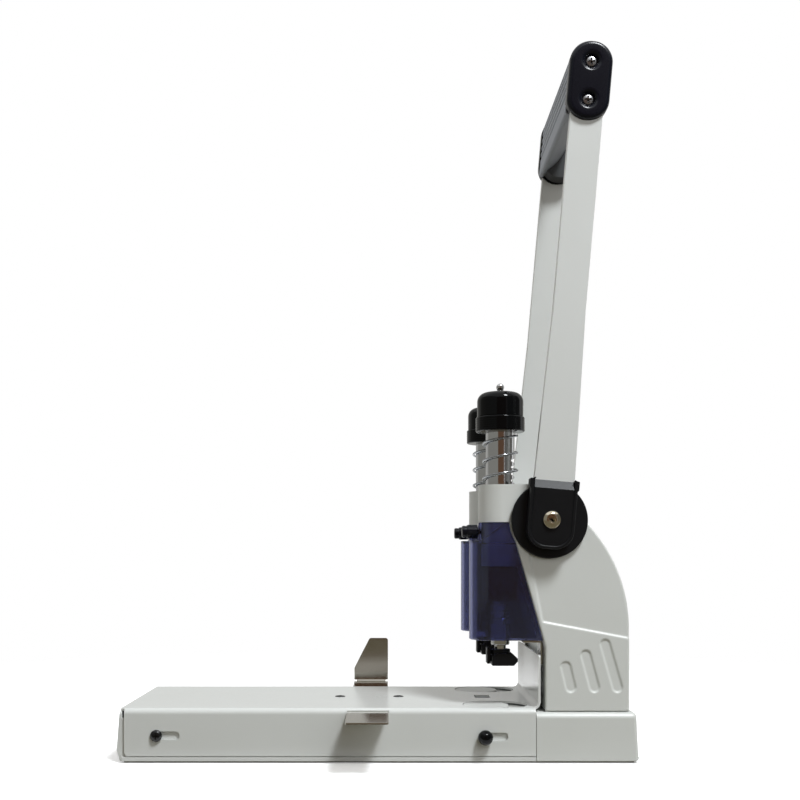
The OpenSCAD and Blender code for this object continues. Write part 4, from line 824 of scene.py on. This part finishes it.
def guardKnob(side):
    k = knobForm
    ribs = grown(ribTree, bpy.data.meshes.new("none"), {
        "Count": k["ribs"], "Radius": k["ribR"] * mm, "Rib": k["rib"] * mm, "Length": k["ribLong"] * mm,
        "Material": materials["blackNylon"]})
    knob = joined(lathe(turned(k["outline"]), 40), moved(ribs, z=k["ribX"]))
    return moved(knob, y=side * layout["punchY"], z=k["z"], turn=Matrix.Rotation(math.pi / 2, 4, "Y"))


for name, side in sides.items():
    addSidePiece(name, "Guard", guardShell(side), "tintedGuard", "frame", "clear_blue", angle=45)
    addSidePiece(name, "GuardKnob", guardKnob(side), "blackNylon", name + "_thumbscrew", "black_plastic")
print("guards fitted")

punchForm = dict(bore=10.25, collar=(230.5, 241, 17.3), collarRound=1.0, collarEnd=1.5, grooves=5, groove=0.1,
                 grooveHalf=0.45, grooveRound=0.15, dome=(241.05, 260, 16.3), shoulder=6.5, shoulderSteps=16,
                 crown=1.6, crownSteps=12, domeFoot=((0.5, 0), (0.1, 0.3), (0, 0.8)), ball=(2.8, 262.2),
                 neck=1.2, root=4, washer=((1.2, -0.2), (2.6, -0.2), (2.2, 0.25), (1.3, 0.5)))


def collarProfile():
    p = punchForm
    low, high, r = p["collar"]
    points = [(p["bore"], low, 0), (r, low, p["collarRound"])]
    pitch = (high - low - 2 * p["collarEnd"]) / p["grooves"]
    for k in range(p["grooves"]):
        z = low + p["collarEnd"] + pitch * (k + 0.5)
        points += [(r - deep, z + way * p["grooveHalf"], p["grooveRound"])
                   for way, deep in ((-1, 0), (0, p["groove"]), (1, 0))]
    return turned(points + [(r, high, p["collarRound"]), (p["bore"], high, 0)], 4)


def domeProfile():
    p = punchForm
    low, high, r = p["dome"]
    bend, crown, steps = p["shoulder"], p["crown"], p["crownSteps"]
    flat = r - bend
    shoulder = [(flat + bend * math.cos(a), high - crown - bend + bend * math.sin(a))
                for a in (math.pi / 2 * k / p["shoulderSteps"] for k in range(p["shoulderSteps"] + 1))]
    top = [(flat * (1 - k / steps), high - crown * (1 - smooth(k / steps))) for k in range(1, steps)]
    return [(0, low)] + [(r - back, low + up) for back, up in p["domeFoot"]] + shoulder + top + [(0, high)]


def ballProfile():
    p = punchForm
    (radius, centre), dome = p["ball"], p["dome"][1]
    return ([(0, dome - p["root"]), (p["neck"], dome - p["root"])] + [(r, dome + up) for r, up in p["washer"]]
            + ballArc(radius, centre, p["neck"], 26) + [(0, centre + radius)])


# plain turned pieces of a punch: (radius, height, corner radius) points, steps, hoop or not, look, body, slot
turnedForm = dict(
    PinChuck=([(0, 134, 0), (5.1, 134, 0.2), (5.1, 132, 0), (8.2, 132, 0.2), (8.2, 111, 0.4), (12.6, 111, 0.6),
               (12.6, 134, 0.6), (10.5, 134.6, 0.3), (10.5, 144.9, 0.2), (9.8, 145.3, 0.2), (9.8, 146.3, 0.2),
               (10.5, 146.7, 0.2), (10.5, 149.3, 0.4), (9.9, 149.9, 0.2), (0, 149.9, 0)], 64, False, "blackOxide",
              "_punch", "black_steel"),
    PunchPin=([(2.3, 66.92, 0), (2.8, 66.92, 0), (2.8, 140, 0), (2.3, 140, 0)], 40, True, "machinedSteel",
              "_punch", "steel"),
    FootSleeve=([(3.2, 74, 0), (4, 74, 0.3), (4, 80, 0.2), (6.5, 80, 0.8), (6.5, 95, 0.8), (4.5, 95, 0.4),
                 (4.5, 131, 0.4), (3.2, 131, 0)], 56, True, "chromePlate", "_presser", "chrome"))
# outlines of the foot's blocks are (x, z, corner radius), with their width and rim
footForm = dict(drill=(3.2, 64.7, 75.6), boss=[(4.15, 73.6, 0), (7, 73.6, 0), (7, 77, 0.6), (4.15, 77, 0.3)],
                shoe=([(79.2, 65.7, 0.6), (94.4, 65.7, 0.6), (97.2, 68.7, 0.5), (97.2, 70.8, 0.6), (93.2, 74.6, 0.9),
                       (81.7, 74.6, 0.9), (79.2, 72.6, 0.6)], 18, 0.8),
                bar=([(75.9, 66.8, 0.7), (78.4, 66.8, 0.7), (78.4, 78.2, 0.7), (75.9, 78.2, 0.7)], 10, 0.6),
                link=([(77.6, 68.6, 0.3), (80.4, 68.6, 0.3), (80.4, 73, 0.3), (77.6, 73, 0.3)], 7, 0.4))


def footBlock(x, y):
    shoe, bar, link = (moved(slab(*footForm[part]), y=y) for part in ("shoe", "bar", "link"))
    boss = moved(lathe(turned(footForm["boss"]), 48, True), x, y)
    return joined(drilled(shoe, x, y, *footForm["drill"]), bar, link, boss)


for name, side in sides.items():
    at = (layout["punchX"], side * layout["punchY"])
    body = name + "_punch"
    addSidePiece(name, "Quill", softCopy(name + "_quill", 0.15, 50), "chromePlate", body, "chrome")
    addSidePiece(name, "CapCollar", moved(lathe(collarProfile(), 96, True), *at), "blackGloss", body, "gloss_black")
    addSidePiece(name, "DomeCap", moved(lathe(domeProfile(), 96), *at), "blackGloss", body, "gloss_black")
    addSidePiece(name, "CapKnob", moved(lathe(ballProfile(), 56), *at), "chromePlate", body, "chrome")
    for kind, (outline, steps, hoop, look, rides, slot) in turnedForm.items():
        addSidePiece(name, kind, moved(lathe(turned(outline), steps, hoop), *at), look, name + rides, slot)
    addSidePiece(name, "Foot", footBlock(*at), "blackAbs", name + "_presser", "black_plastic")
print("punches turned")

# the coils stand between the towers and collars, and between the cups and chucks
coilForm = dict(ReturnCoil=dict(low=192.7, high=230.2, outer=25.6, wire=1.6, turns=3, phase=45, keep=0.219,
                                drawIn=0.1, steps=48),
                StripperCoil=dict(low=95, high=131.7, outer=14, wire=1.4, turns=7, phase=0, keep=0.96, drawIn=0.35,
                                  steps=48))
for name, side in sides.items():
    for kind, body, joint, node in (("ReturnCoil", "frame", "_punch_slide", "_return_spring"),
                                    ("StripperCoil", name + "_presser", "_foot_slide", "_stripper_spring")):
        coil = coilForm[kind]
        foot = (layout["punchX"], side * layout["punchY"], coil["low"])
        wire = grown(coilTree, bpy.data.meshes.new("none"), {
            "Turns": float(coil["turns"]), "Radius": (coil["outer"] - coil["wire"]) / 2 * mm,
            "Wire": coil["wire"] * mm, "Height": (coil["high"] - coil["low"]) * mm, "Draw In": coil["drawIn"],
            "Steps": coil["steps"], "Material": materials["springWire"]})
        moved(wire, *foot, turn=Matrix.Rotation(math.radians(coil["phase"]), 4, "Z"))
        piece = addPiece(name + kind, wire, "springWire", body, [name + node], "steel", weighted=False)
        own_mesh(piece)
print("springs wound")


# a loop given across and along the lever, in the machine's x and z
def onLever(loop, at=0):
    c, s = math.cos(math.radians(layout["lean"])), math.sin(math.radians(layout["lean"]))
    return [Vector((layout["pivotX"] + a * c + (at + b) * s, layout["pivotZ"] - a * s + (at + b) * c))
            for a, b in loop]


# outlines are (across, along, corner radius)
leverForm = dict(
    hub=[(0, 57.3, 0), (26.5, 57.3, 0.5), (26.5, 60.5, 0.9), (0, 60.5, 0)],
    rails=[(-16.9, 27.5, 0.8), (-16.9, 21.3, 0.4), (-16, 20.3, 0.4), (-16, -20, 13), (16, -20, 13), (16, 20.3, 0.4),
           (16.9, 21.3, 0.4), (16.9, 27.5, 0.8)],
    between=[(13.6, 27.5, 0.5), (13.6, -17.6, 10.6), (-13.6, -17.6, 10.6), (-13.6, 27.5, 0.5)],
    face=[(-13.8, -17.8, 10.6), (13.8, -17.8, 10.6), (13.8, 26.9, 0.3), (-13.8, 26.9, 0.3)],
    railY=(60.3, 70), faceY=(60.3, 69.5), railRim=0.8, faceRim=0.5, band=21.3, bandFall=0.6, steps=8,
    arm=[(-14.2, -17.5, 9), (14.2, -17.5, 9), (14.2, 20, 60), (11.2, 145, 60), (11.2, 315.8, 8), (-11.2, 315.8, 8),
         (-11.2, 145, 60), (-14.2, 20, 60)], armY=(60.6, 66), armRim=0.5)
gripForm = dict(at=301.4, half=60.5, rim=0.4, wide=14, high=25.4, crown=(6, 10.5), lip=2.2, lipUp=3.4, lipFall=0.8,
                under=(5.6, 9.4), underR=37, underSteps=24, cornerSteps=12, grooves=5, first=-7, pitch=5.6,
                groove=2.4, grooveEdge=1.3, deep=1.1, frontSteps=150, end=13, endX=(-12.4, 13.9), endCorner=13,
                endRim=0.6, cap=(53.9, 29.4, 14.2), capY=(60.6, 69.6), capRims=(0.5, 3.2), capLap=0.1,
                screwPitch=26.2, screwHole=3.55, dish=(4.4, 66.3))


# two rails joined below, and between them a face that slopes back at its top
def socketBody(side):
    v = leverForm
    outer, inner, middle = (softened(v[part], v["steps"]) for part in ("rails", "between", "face"))
    rails = plate([outer + inner], *v["railY"], 0, v["railRim"])
    face = plate([middle], *v["faceY"], 0, v["faceRim"])
    score(face, (0, v["band"] * mm, 0), (0, 1, 0))
    for vert in face.verts:
        over = vert.co.y - v["band"] * mm
        if over > 0:
            vert.co.z = min(vert.co.z, v["faceY"][1] * mm - over * v["bandFall"])
    whole = joined(rails, face)
    for vert in whole.verts:
        place, = onLever([vert.co.xy / mm])
        vert.co = Vector((place.x, side * vert.co.z / mm, place.y)) * mm
    return whole


def armPlate(side):
    return upright(plate([onLever(softened(leverForm["arm"], 10))], *leverForm["armY"], leverForm["armRim"]), side)


# leaning bar: grooves for the fingers in front, a lip below them and a hollowed underside
def gripBar():
    g = gripForm
    left, high, bottom = -g["wide"], g["high"], g["lipUp"] - g["high"]
    hollow = Vector((g["under"][0] - g["underR"], g["under"][1]))
    low = math.asin((bottom + g["lipFall"] - hollow.y) / g["underR"])
    turns = [low * k / g["underSteps"] for k in range(g["underSteps"], -1, -1)]
    under = [hollow + g["underR"] * Vector((math.cos(a), math.sin(a))) for a in turns]
    outline = rounded([Vector((g["under"][0], high)), Vector((left, high)), Vector((left, bottom))] + under,
                      [*g["crown"], g["lip"]] + [0] * len(under), g["cornerSteps"])
    crownEnd = 2 * (g["cornerSteps"] + 1)
    start, end = outline[crownEnd - 1], outline[crownEnd]
    centres = [g["first"] + g["pitch"] * k for k in range(g["grooves"])]
    front = []
    for k in range(1, g["frontSteps"]):
        along = start.y + (end.y - start.y) * k / g["frontSteps"]
        near = min(abs(along - c) for c in centres)
        front.append(Vector((start.x + g["deep"] * smooth(g["grooveEdge"] - 2 * near / g["groove"]), along)))
    loop = outline[:crownEnd] + front + outline[crownEnd:]
    return upright(plate([onLever(loop, g["at"])], -g["half"], g["half"], g["rim"]))


# full blocks at both ends, which the screws of the caps bite into
def gripEnds():
    g = gripForm
    x0, x1 = g["endX"]
    block = onLever(rounded(boxLoop(x0, -g["high"], x1, g["high"]), g["endCorner"], 14), g["at"])
    return joined(*(upright(plate([block], g["half"] - g["end"], g["half"], g["endRim"]), side)
                    for side in sides.values()))


# cap in two layers: narrow holes for the screws below, wide dishes above
def gripCap(side):
    g = gripForm
    high, wide, corner = g["cap"]
    outline = rounded(boxLoop(-wide / 2, -high / 2, wide / 2, high / 2), corner, 16)
    (low, top), (dish, level) = g["capY"], g["dish"]
    layers = []
    for radius, y0, y1, rims in ((g["screwHole"], low, level + g["capLap"], (g["capRims"][0], 0)),
                                 (dish, level, top, (0, g["capRims"][1]))):
        holes = [ring(0, way * g["screwPitch"] / 2, radius, 40) for way in (-1, 1)]
        layers.append(upright(plate([onLever(loop, g["at"]) for loop in [outline] + holes], y0, y1, *rims, 6), side))
    return joined(*layers)


tilts = {"near": math.pi / 2, "far": -math.pi / 2}
across = {name: Matrix.Rotation(tilt, 4, "X") for name, tilt in tilts.items()}
for name, side in sides.items():
    disc = moved(lathe(turned(leverForm["hub"]), 96), x=layout["pivotX"], z=layout["pivotZ"], turn=across[name])
    addSidePiece(name, "Hub", joined(disc, socketBody(side)), "blackAbs", "handle", "black_plastic", angle=24)
    addSidePiece(name, "Arm", armPlate(side), "whiteEnamel", "handle", "white_enamel")
    addSidePiece(name, "GripCap", gripCap(side), "blackNylon", "handle", "black_plastic")
addPiece("grip", gripBar(), "greyGrip", "handle", ["grip"], "grip_grey")
# the end blocks take a darker grey than the grip, as painted shade
addPiece("gripEnds", gripEnds(), "gripPaintedShade", "handle", slot="grip_grey")
print("lever built")

# outlines run from the shank's end to the face: (radius, height, corner radius); cut: length, width and depth
screwForm = dict(
    pivot=dict(outline=[(0, -9, 0), (3, -9, 0.3), (3, 0, 0), (6, 0, 0.3), (6, 1.1, 0.6), (4.2, 2.5, 3), (0, 3, 0)],
               face=3, cut=(6.4, 1.7, 2.3), out=69.5),
    grip=dict(outline=[(0, -6, 0), (1.9, -6, 0.3), (1.9, -2, 0), (3.45, -2, 0.2), (3.45, -0.6, 0.5), (0, 0, 0)],
              face=0, cut=(4.8, 1.35, 1.8), out=67.9),
    guide=dict(outline=[(0, -6, 0), (1.9, -6, 0.3), (1.9, 0, 0), (4.1, 0, 0.3), (4.1, 1.0, 0.6), (2.8, 2.4, 2),
                        (0, 2.8, 0)], face=2.8, cut=(4.6, 1.0, 1.4), out=60.8),
    table=dict(outline=[(0, -9, 0), (1.95, -9, 0.3), (1.95, -2.2, 0), (4, -0.25, 0.15), (3.6, 0.35, 0.8),
                        (0, 0.9, 0)], face=0.9, cut=(4.4, 1.0, 1.3), turn=0.4))


def sideScrews(kind, places, material):
    form = screwForm[kind]
    return joined(*(screws(form, [(x, side * form["out"], z) for x, z in places], (tilts[name], 0, 0), material)
                    for name, side in sides.items()))


pivotSpots = [(layout["pivotX"], layout["pivotZ"])]
capSpots = onLever([(0, way * gripForm["screwPitch"] / 2) for way in (-1, 1)], gripForm["at"])
for kind, places, look, body, slot in (("pivot", pivotSpots, "nickelBrass", "handle", "brass"),
                                       ("grip", capSpots, "machinedSteel", "handle", "steel"),
                                       ("guide", [tableForm["guide"]], "blackOxide", "frame", "black_steel")):
    addPiece(kind + "Screws", sideScrews(kind, places, look), look, body, [kind + "_screws"], slot)
topSpots = [(x, 0, layout["tableZ"]) for x in tableForm["screws"]]
addPiece("tableScrews", screws(screwForm["table"], topSpots, (0, 0, screwForm["table"]["turn"]), "blackOxide"),
         "blackOxide", "table", ["table_screws"], "steel")

clampForm = dict(ball=5.2, centre=64.4, neck=3.0, steps=24, shank=[(0, 52), (1.9, 52), (1.9, 60.85), (3.0, 60.85)])
for name in sides:
    c, (x, z) = clampForm, tableForm["clamp"]
    knob = lathe(c["shank"] + ballArc(c["ball"], c["centre"], c["neck"], c["steps"])
                 + [(0, c["centre"] + c["ball"])], 48)
    addSidePiece(name, "ClampKnob", moved(knob, x=x, z=z, turn=across[name]), "blackGloss", name + "_clamp",
                 "gloss_black")
    addSidePiece(name, "CuttingDisc", softCopy(name + "_cutting_disc", 0.4), "whiteNylon", name + "_disc",
                 "disc_plastic")
print("small parts placed")

# what stays as the CAD piece is inside the machine or under it
hidden = dict(base_mat="greyRubber", pan_screws="machinedSteel", ruler_guide="machinedSteel",
              column_casting="primedIron", column_bolts="blackOxide", head_studs="machinedSteel",
              shaft_bushes="nickelBrass", drive_shaft="machinedSteel", near_pinion="machinedSteel",
              far_pinion="machinedSteel")
for node, material in hidden.items():
    nodes[node].data.materials.clear()
    nodes[node].data.materials.append(materials[material])

stageForm = dict(floor=6, floorZ=-0.0002, floorRough=0.9, fade=(0.28, 0.8), white="#ffffff", fill="#fff0de",
                 fillStrength=0.15, bounce="#6e6a5a", floorGlow=0.3, lampColour="#f8fcff", aim=(0.02, 0, 0.16))
# place, size in metres and power of each lamp
lampForm = dict(key=((0.8, -1.15, 2.2), 0.5, 58), front=((0.5, -1.2, 0.6), 0.9, 4.2),
                left=((-1.7, 0.25, 1.2), 1.2, 10), over=((-0.15, 0.45, 0.6), 0.5, 1.4))
# what only reflections show of the room: colour, strength, width, height, place, turn and tilt in degrees
roomForm = dict(brownWall=("#6a5140", 1, 2.4, 2.4, (0, -2.4, 0.9), 0, 90),
                leftWall=("#96958f", 1, 4.4, 2.4, (-1.8, -0.5, 0.9), -65, 90),
                rightWall=("#6f6d69", 1, 3.6, 2.4, (2.0, -0.9, 0.9), 62, 90),
                windowStrip=("#ffffff", 0.9, 0.24, 2.2, (1.27, -2.3, 1.0), 0, 90),
                backWall=("#bdbcb8", 1, 6.0, 2.6, (0, 1.6, 1.0), 0, 90),
                deskFront=("#7b7565", 1, 3.4, 2.2, (0, -1.2, 0.001), 0, 0))


def stagePlane(name, width, height, place, turn, material):
    bm = bmesh.new()
    bmesh.ops.create_grid(bm, x_segments=8, y_segments=8, size=0.5)
    size = Matrix.Diagonal((width, height, 1, 1))
    bmesh.ops.transform(bm, matrix=Matrix.Translation(place) @ turn @ size, verts=bm.verts)
    plane = placed(name, meshOf(bm, name))
    plane.data.materials.append(material)
    return plane


# what the camera sees, straight, in a reflection or through the guards
def seenRays(tree):
    ray = addNode(tree, "ShaderNodeLightPath").outputs
    either = addNode(tree, "ShaderNodeMath", links={0: ray["Is Camera Ray"], 1: ray["Is Glossy Ray"]},
                     operation="MAXIMUM")
    return addNode(tree, "ShaderNodeMath", links={0: either.outputs[0], 1: ray["Is Transmission Ray"]},
                   operation="MAXIMUM").outputs[0]


# white paper where it is seen, duller where it lights the machine from below, clear far out
def floorMaterial():
    material = bpy.data.materials.new("paperFloor")
    material.use_nodes = True
    tree = material.node_tree
    shader = tree.nodes["Principled BSDF"]
    seen, white = seenRays(tree), linear(stageForm["white"])
    shade = addNode(tree, "ShaderNodeMix", {mixA: linear(stageForm["bounce"]), mixB: white}, {0: seen},
                    data_type="RGBA")
    tree.links.new(shade.outputs[mixOut], shader.inputs["Base Color"])
    shader.inputs["Roughness"].default_value = stageForm["floorRough"]
    shader.inputs["Specular IOR Level"].default_value = 0.0
    place = addNode(tree, "ShaderNodeTexCoord")
    far = addNode(tree, "ShaderNodeVectorMath", links={0: place.outputs["Object"]}, operation="LENGTH")
    near, out = stageForm["fade"]
    edge = addNode(tree, "ShaderNodeMapRange", {"From Min": near, "From Max": out}, {"Value": far.outputs["Value"]},
                   interpolation_type="SMOOTHSTEP")
    lit = addNode(tree, "ShaderNodeMath", {1: stageForm["floorGlow"]}, {0: seen}, operation="MULTIPLY")
    glow = addNode(tree, "ShaderNodeEmission", {"Color": white}, {"Strength": lit.outputs[0]})
    paper = addNode(tree, "ShaderNodeAddShader", links={0: shader.outputs["BSDF"], 1: glow.outputs["Emission"]})
    clear = addNode(tree, "ShaderNodeBsdfTransparent")
    merge = addNode(tree, "ShaderNodeMixShader", links={0: edge.outputs["Result"], 1: paper.outputs["Shader"],
                    2: clear.outputs["BSDF"]})
    tree.links.new(merge.outputs["Shader"], tree.nodes["Material Output"].inputs["Surface"])
    return material


stagePlane("floor", stageForm["floor"], stageForm["floor"], (0, 0, stageForm["floorZ"]), Matrix.Identity(4),
           floorMaterial())
for name, (colour, strength, wide, high, place, turn, tilt) in roomForm.items():
    paint = bpy.data.materials.new(name)
    paint.use_nodes = True
    tree = paint.node_tree
    tree.nodes.remove(tree.nodes["Principled BSDF"])
    glow = addNode(tree, "ShaderNodeEmission", {"Color": linear(colour), "Strength": strength})
    tree.links.new(glow.outputs["Emission"], tree.nodes["Material Output"].inputs["Surface"])
    facing = Matrix.Rotation(math.radians(turn), 4, "Z") @ Matrix.Rotation(math.radians(tilt), 4, "X")
    wall = stagePlane(name, wide, high, place, facing, paint)
    for ray in ("camera", "diffuse", "shadow", "transmission", "volume_scatter"):
        setattr(wall, "visible_" + ray, False)

world = bpy.data.worlds.new("studio")
scene.world = world
world.use_nodes = True
tree = world.node_tree
tree.nodes.clear()
fill = addNode(tree, "ShaderNodeBackground", {"Color": linear(stageForm["fill"]),
               "Strength": stageForm["fillStrength"]})
paper = addNode(tree, "ShaderNodeBackground", {"Color": linear(stageForm["white"]), "Strength": 1.0})
both = addNode(tree, "ShaderNodeMixShader", links={0: seenRays(tree), 1: fill.outputs[0], 2: paper.outputs[0]})
addNode(tree, "ShaderNodeOutputWorld", links={"Surface": both.outputs[0]})

for name, (place, size, power) in lampForm.items():
    lampData = bpy.data.lights.new(name + "Lamp", "AREA")
    lampData.energy = power
    lampData.color = linear(stageForm["lampColour"])[:3]
    lampData.size = size
    lamp = placed(name + "Lamp", lampData)
    lamp.location = place
    lamp.rotation_euler = (Vector(stageForm["aim"]) - Vector(place)).to_track_quat("-Z", "Y").to_euler()
    lamp.visible_camera = False
    lamp.visible_glossy = name == "key"

# one-point view: the camera looks straight along the width, its frame shifted up and right
cameraForm = dict(place=(0.004, -0.776, 0.147), lens=46.7, sensor=36, shift=(0.01875, 0.1875), clip=0.05)
cameraData = bpy.data.cameras.new("camera")
cameraData.lens = cameraForm["lens"]
cameraData.sensor_width = cameraForm["sensor"]
cameraData.shift_x, cameraData.shift_y = cameraForm["shift"]
cameraData.clip_start = cameraForm["clip"]
camera = placed("camera", cameraData)
camera.location = cameraForm["place"]
camera.rotation_euler = (math.pi / 2, 0, 0)
scene.camera = camera
scene.view_settings.view_transform = "Standard"

print("stage set")
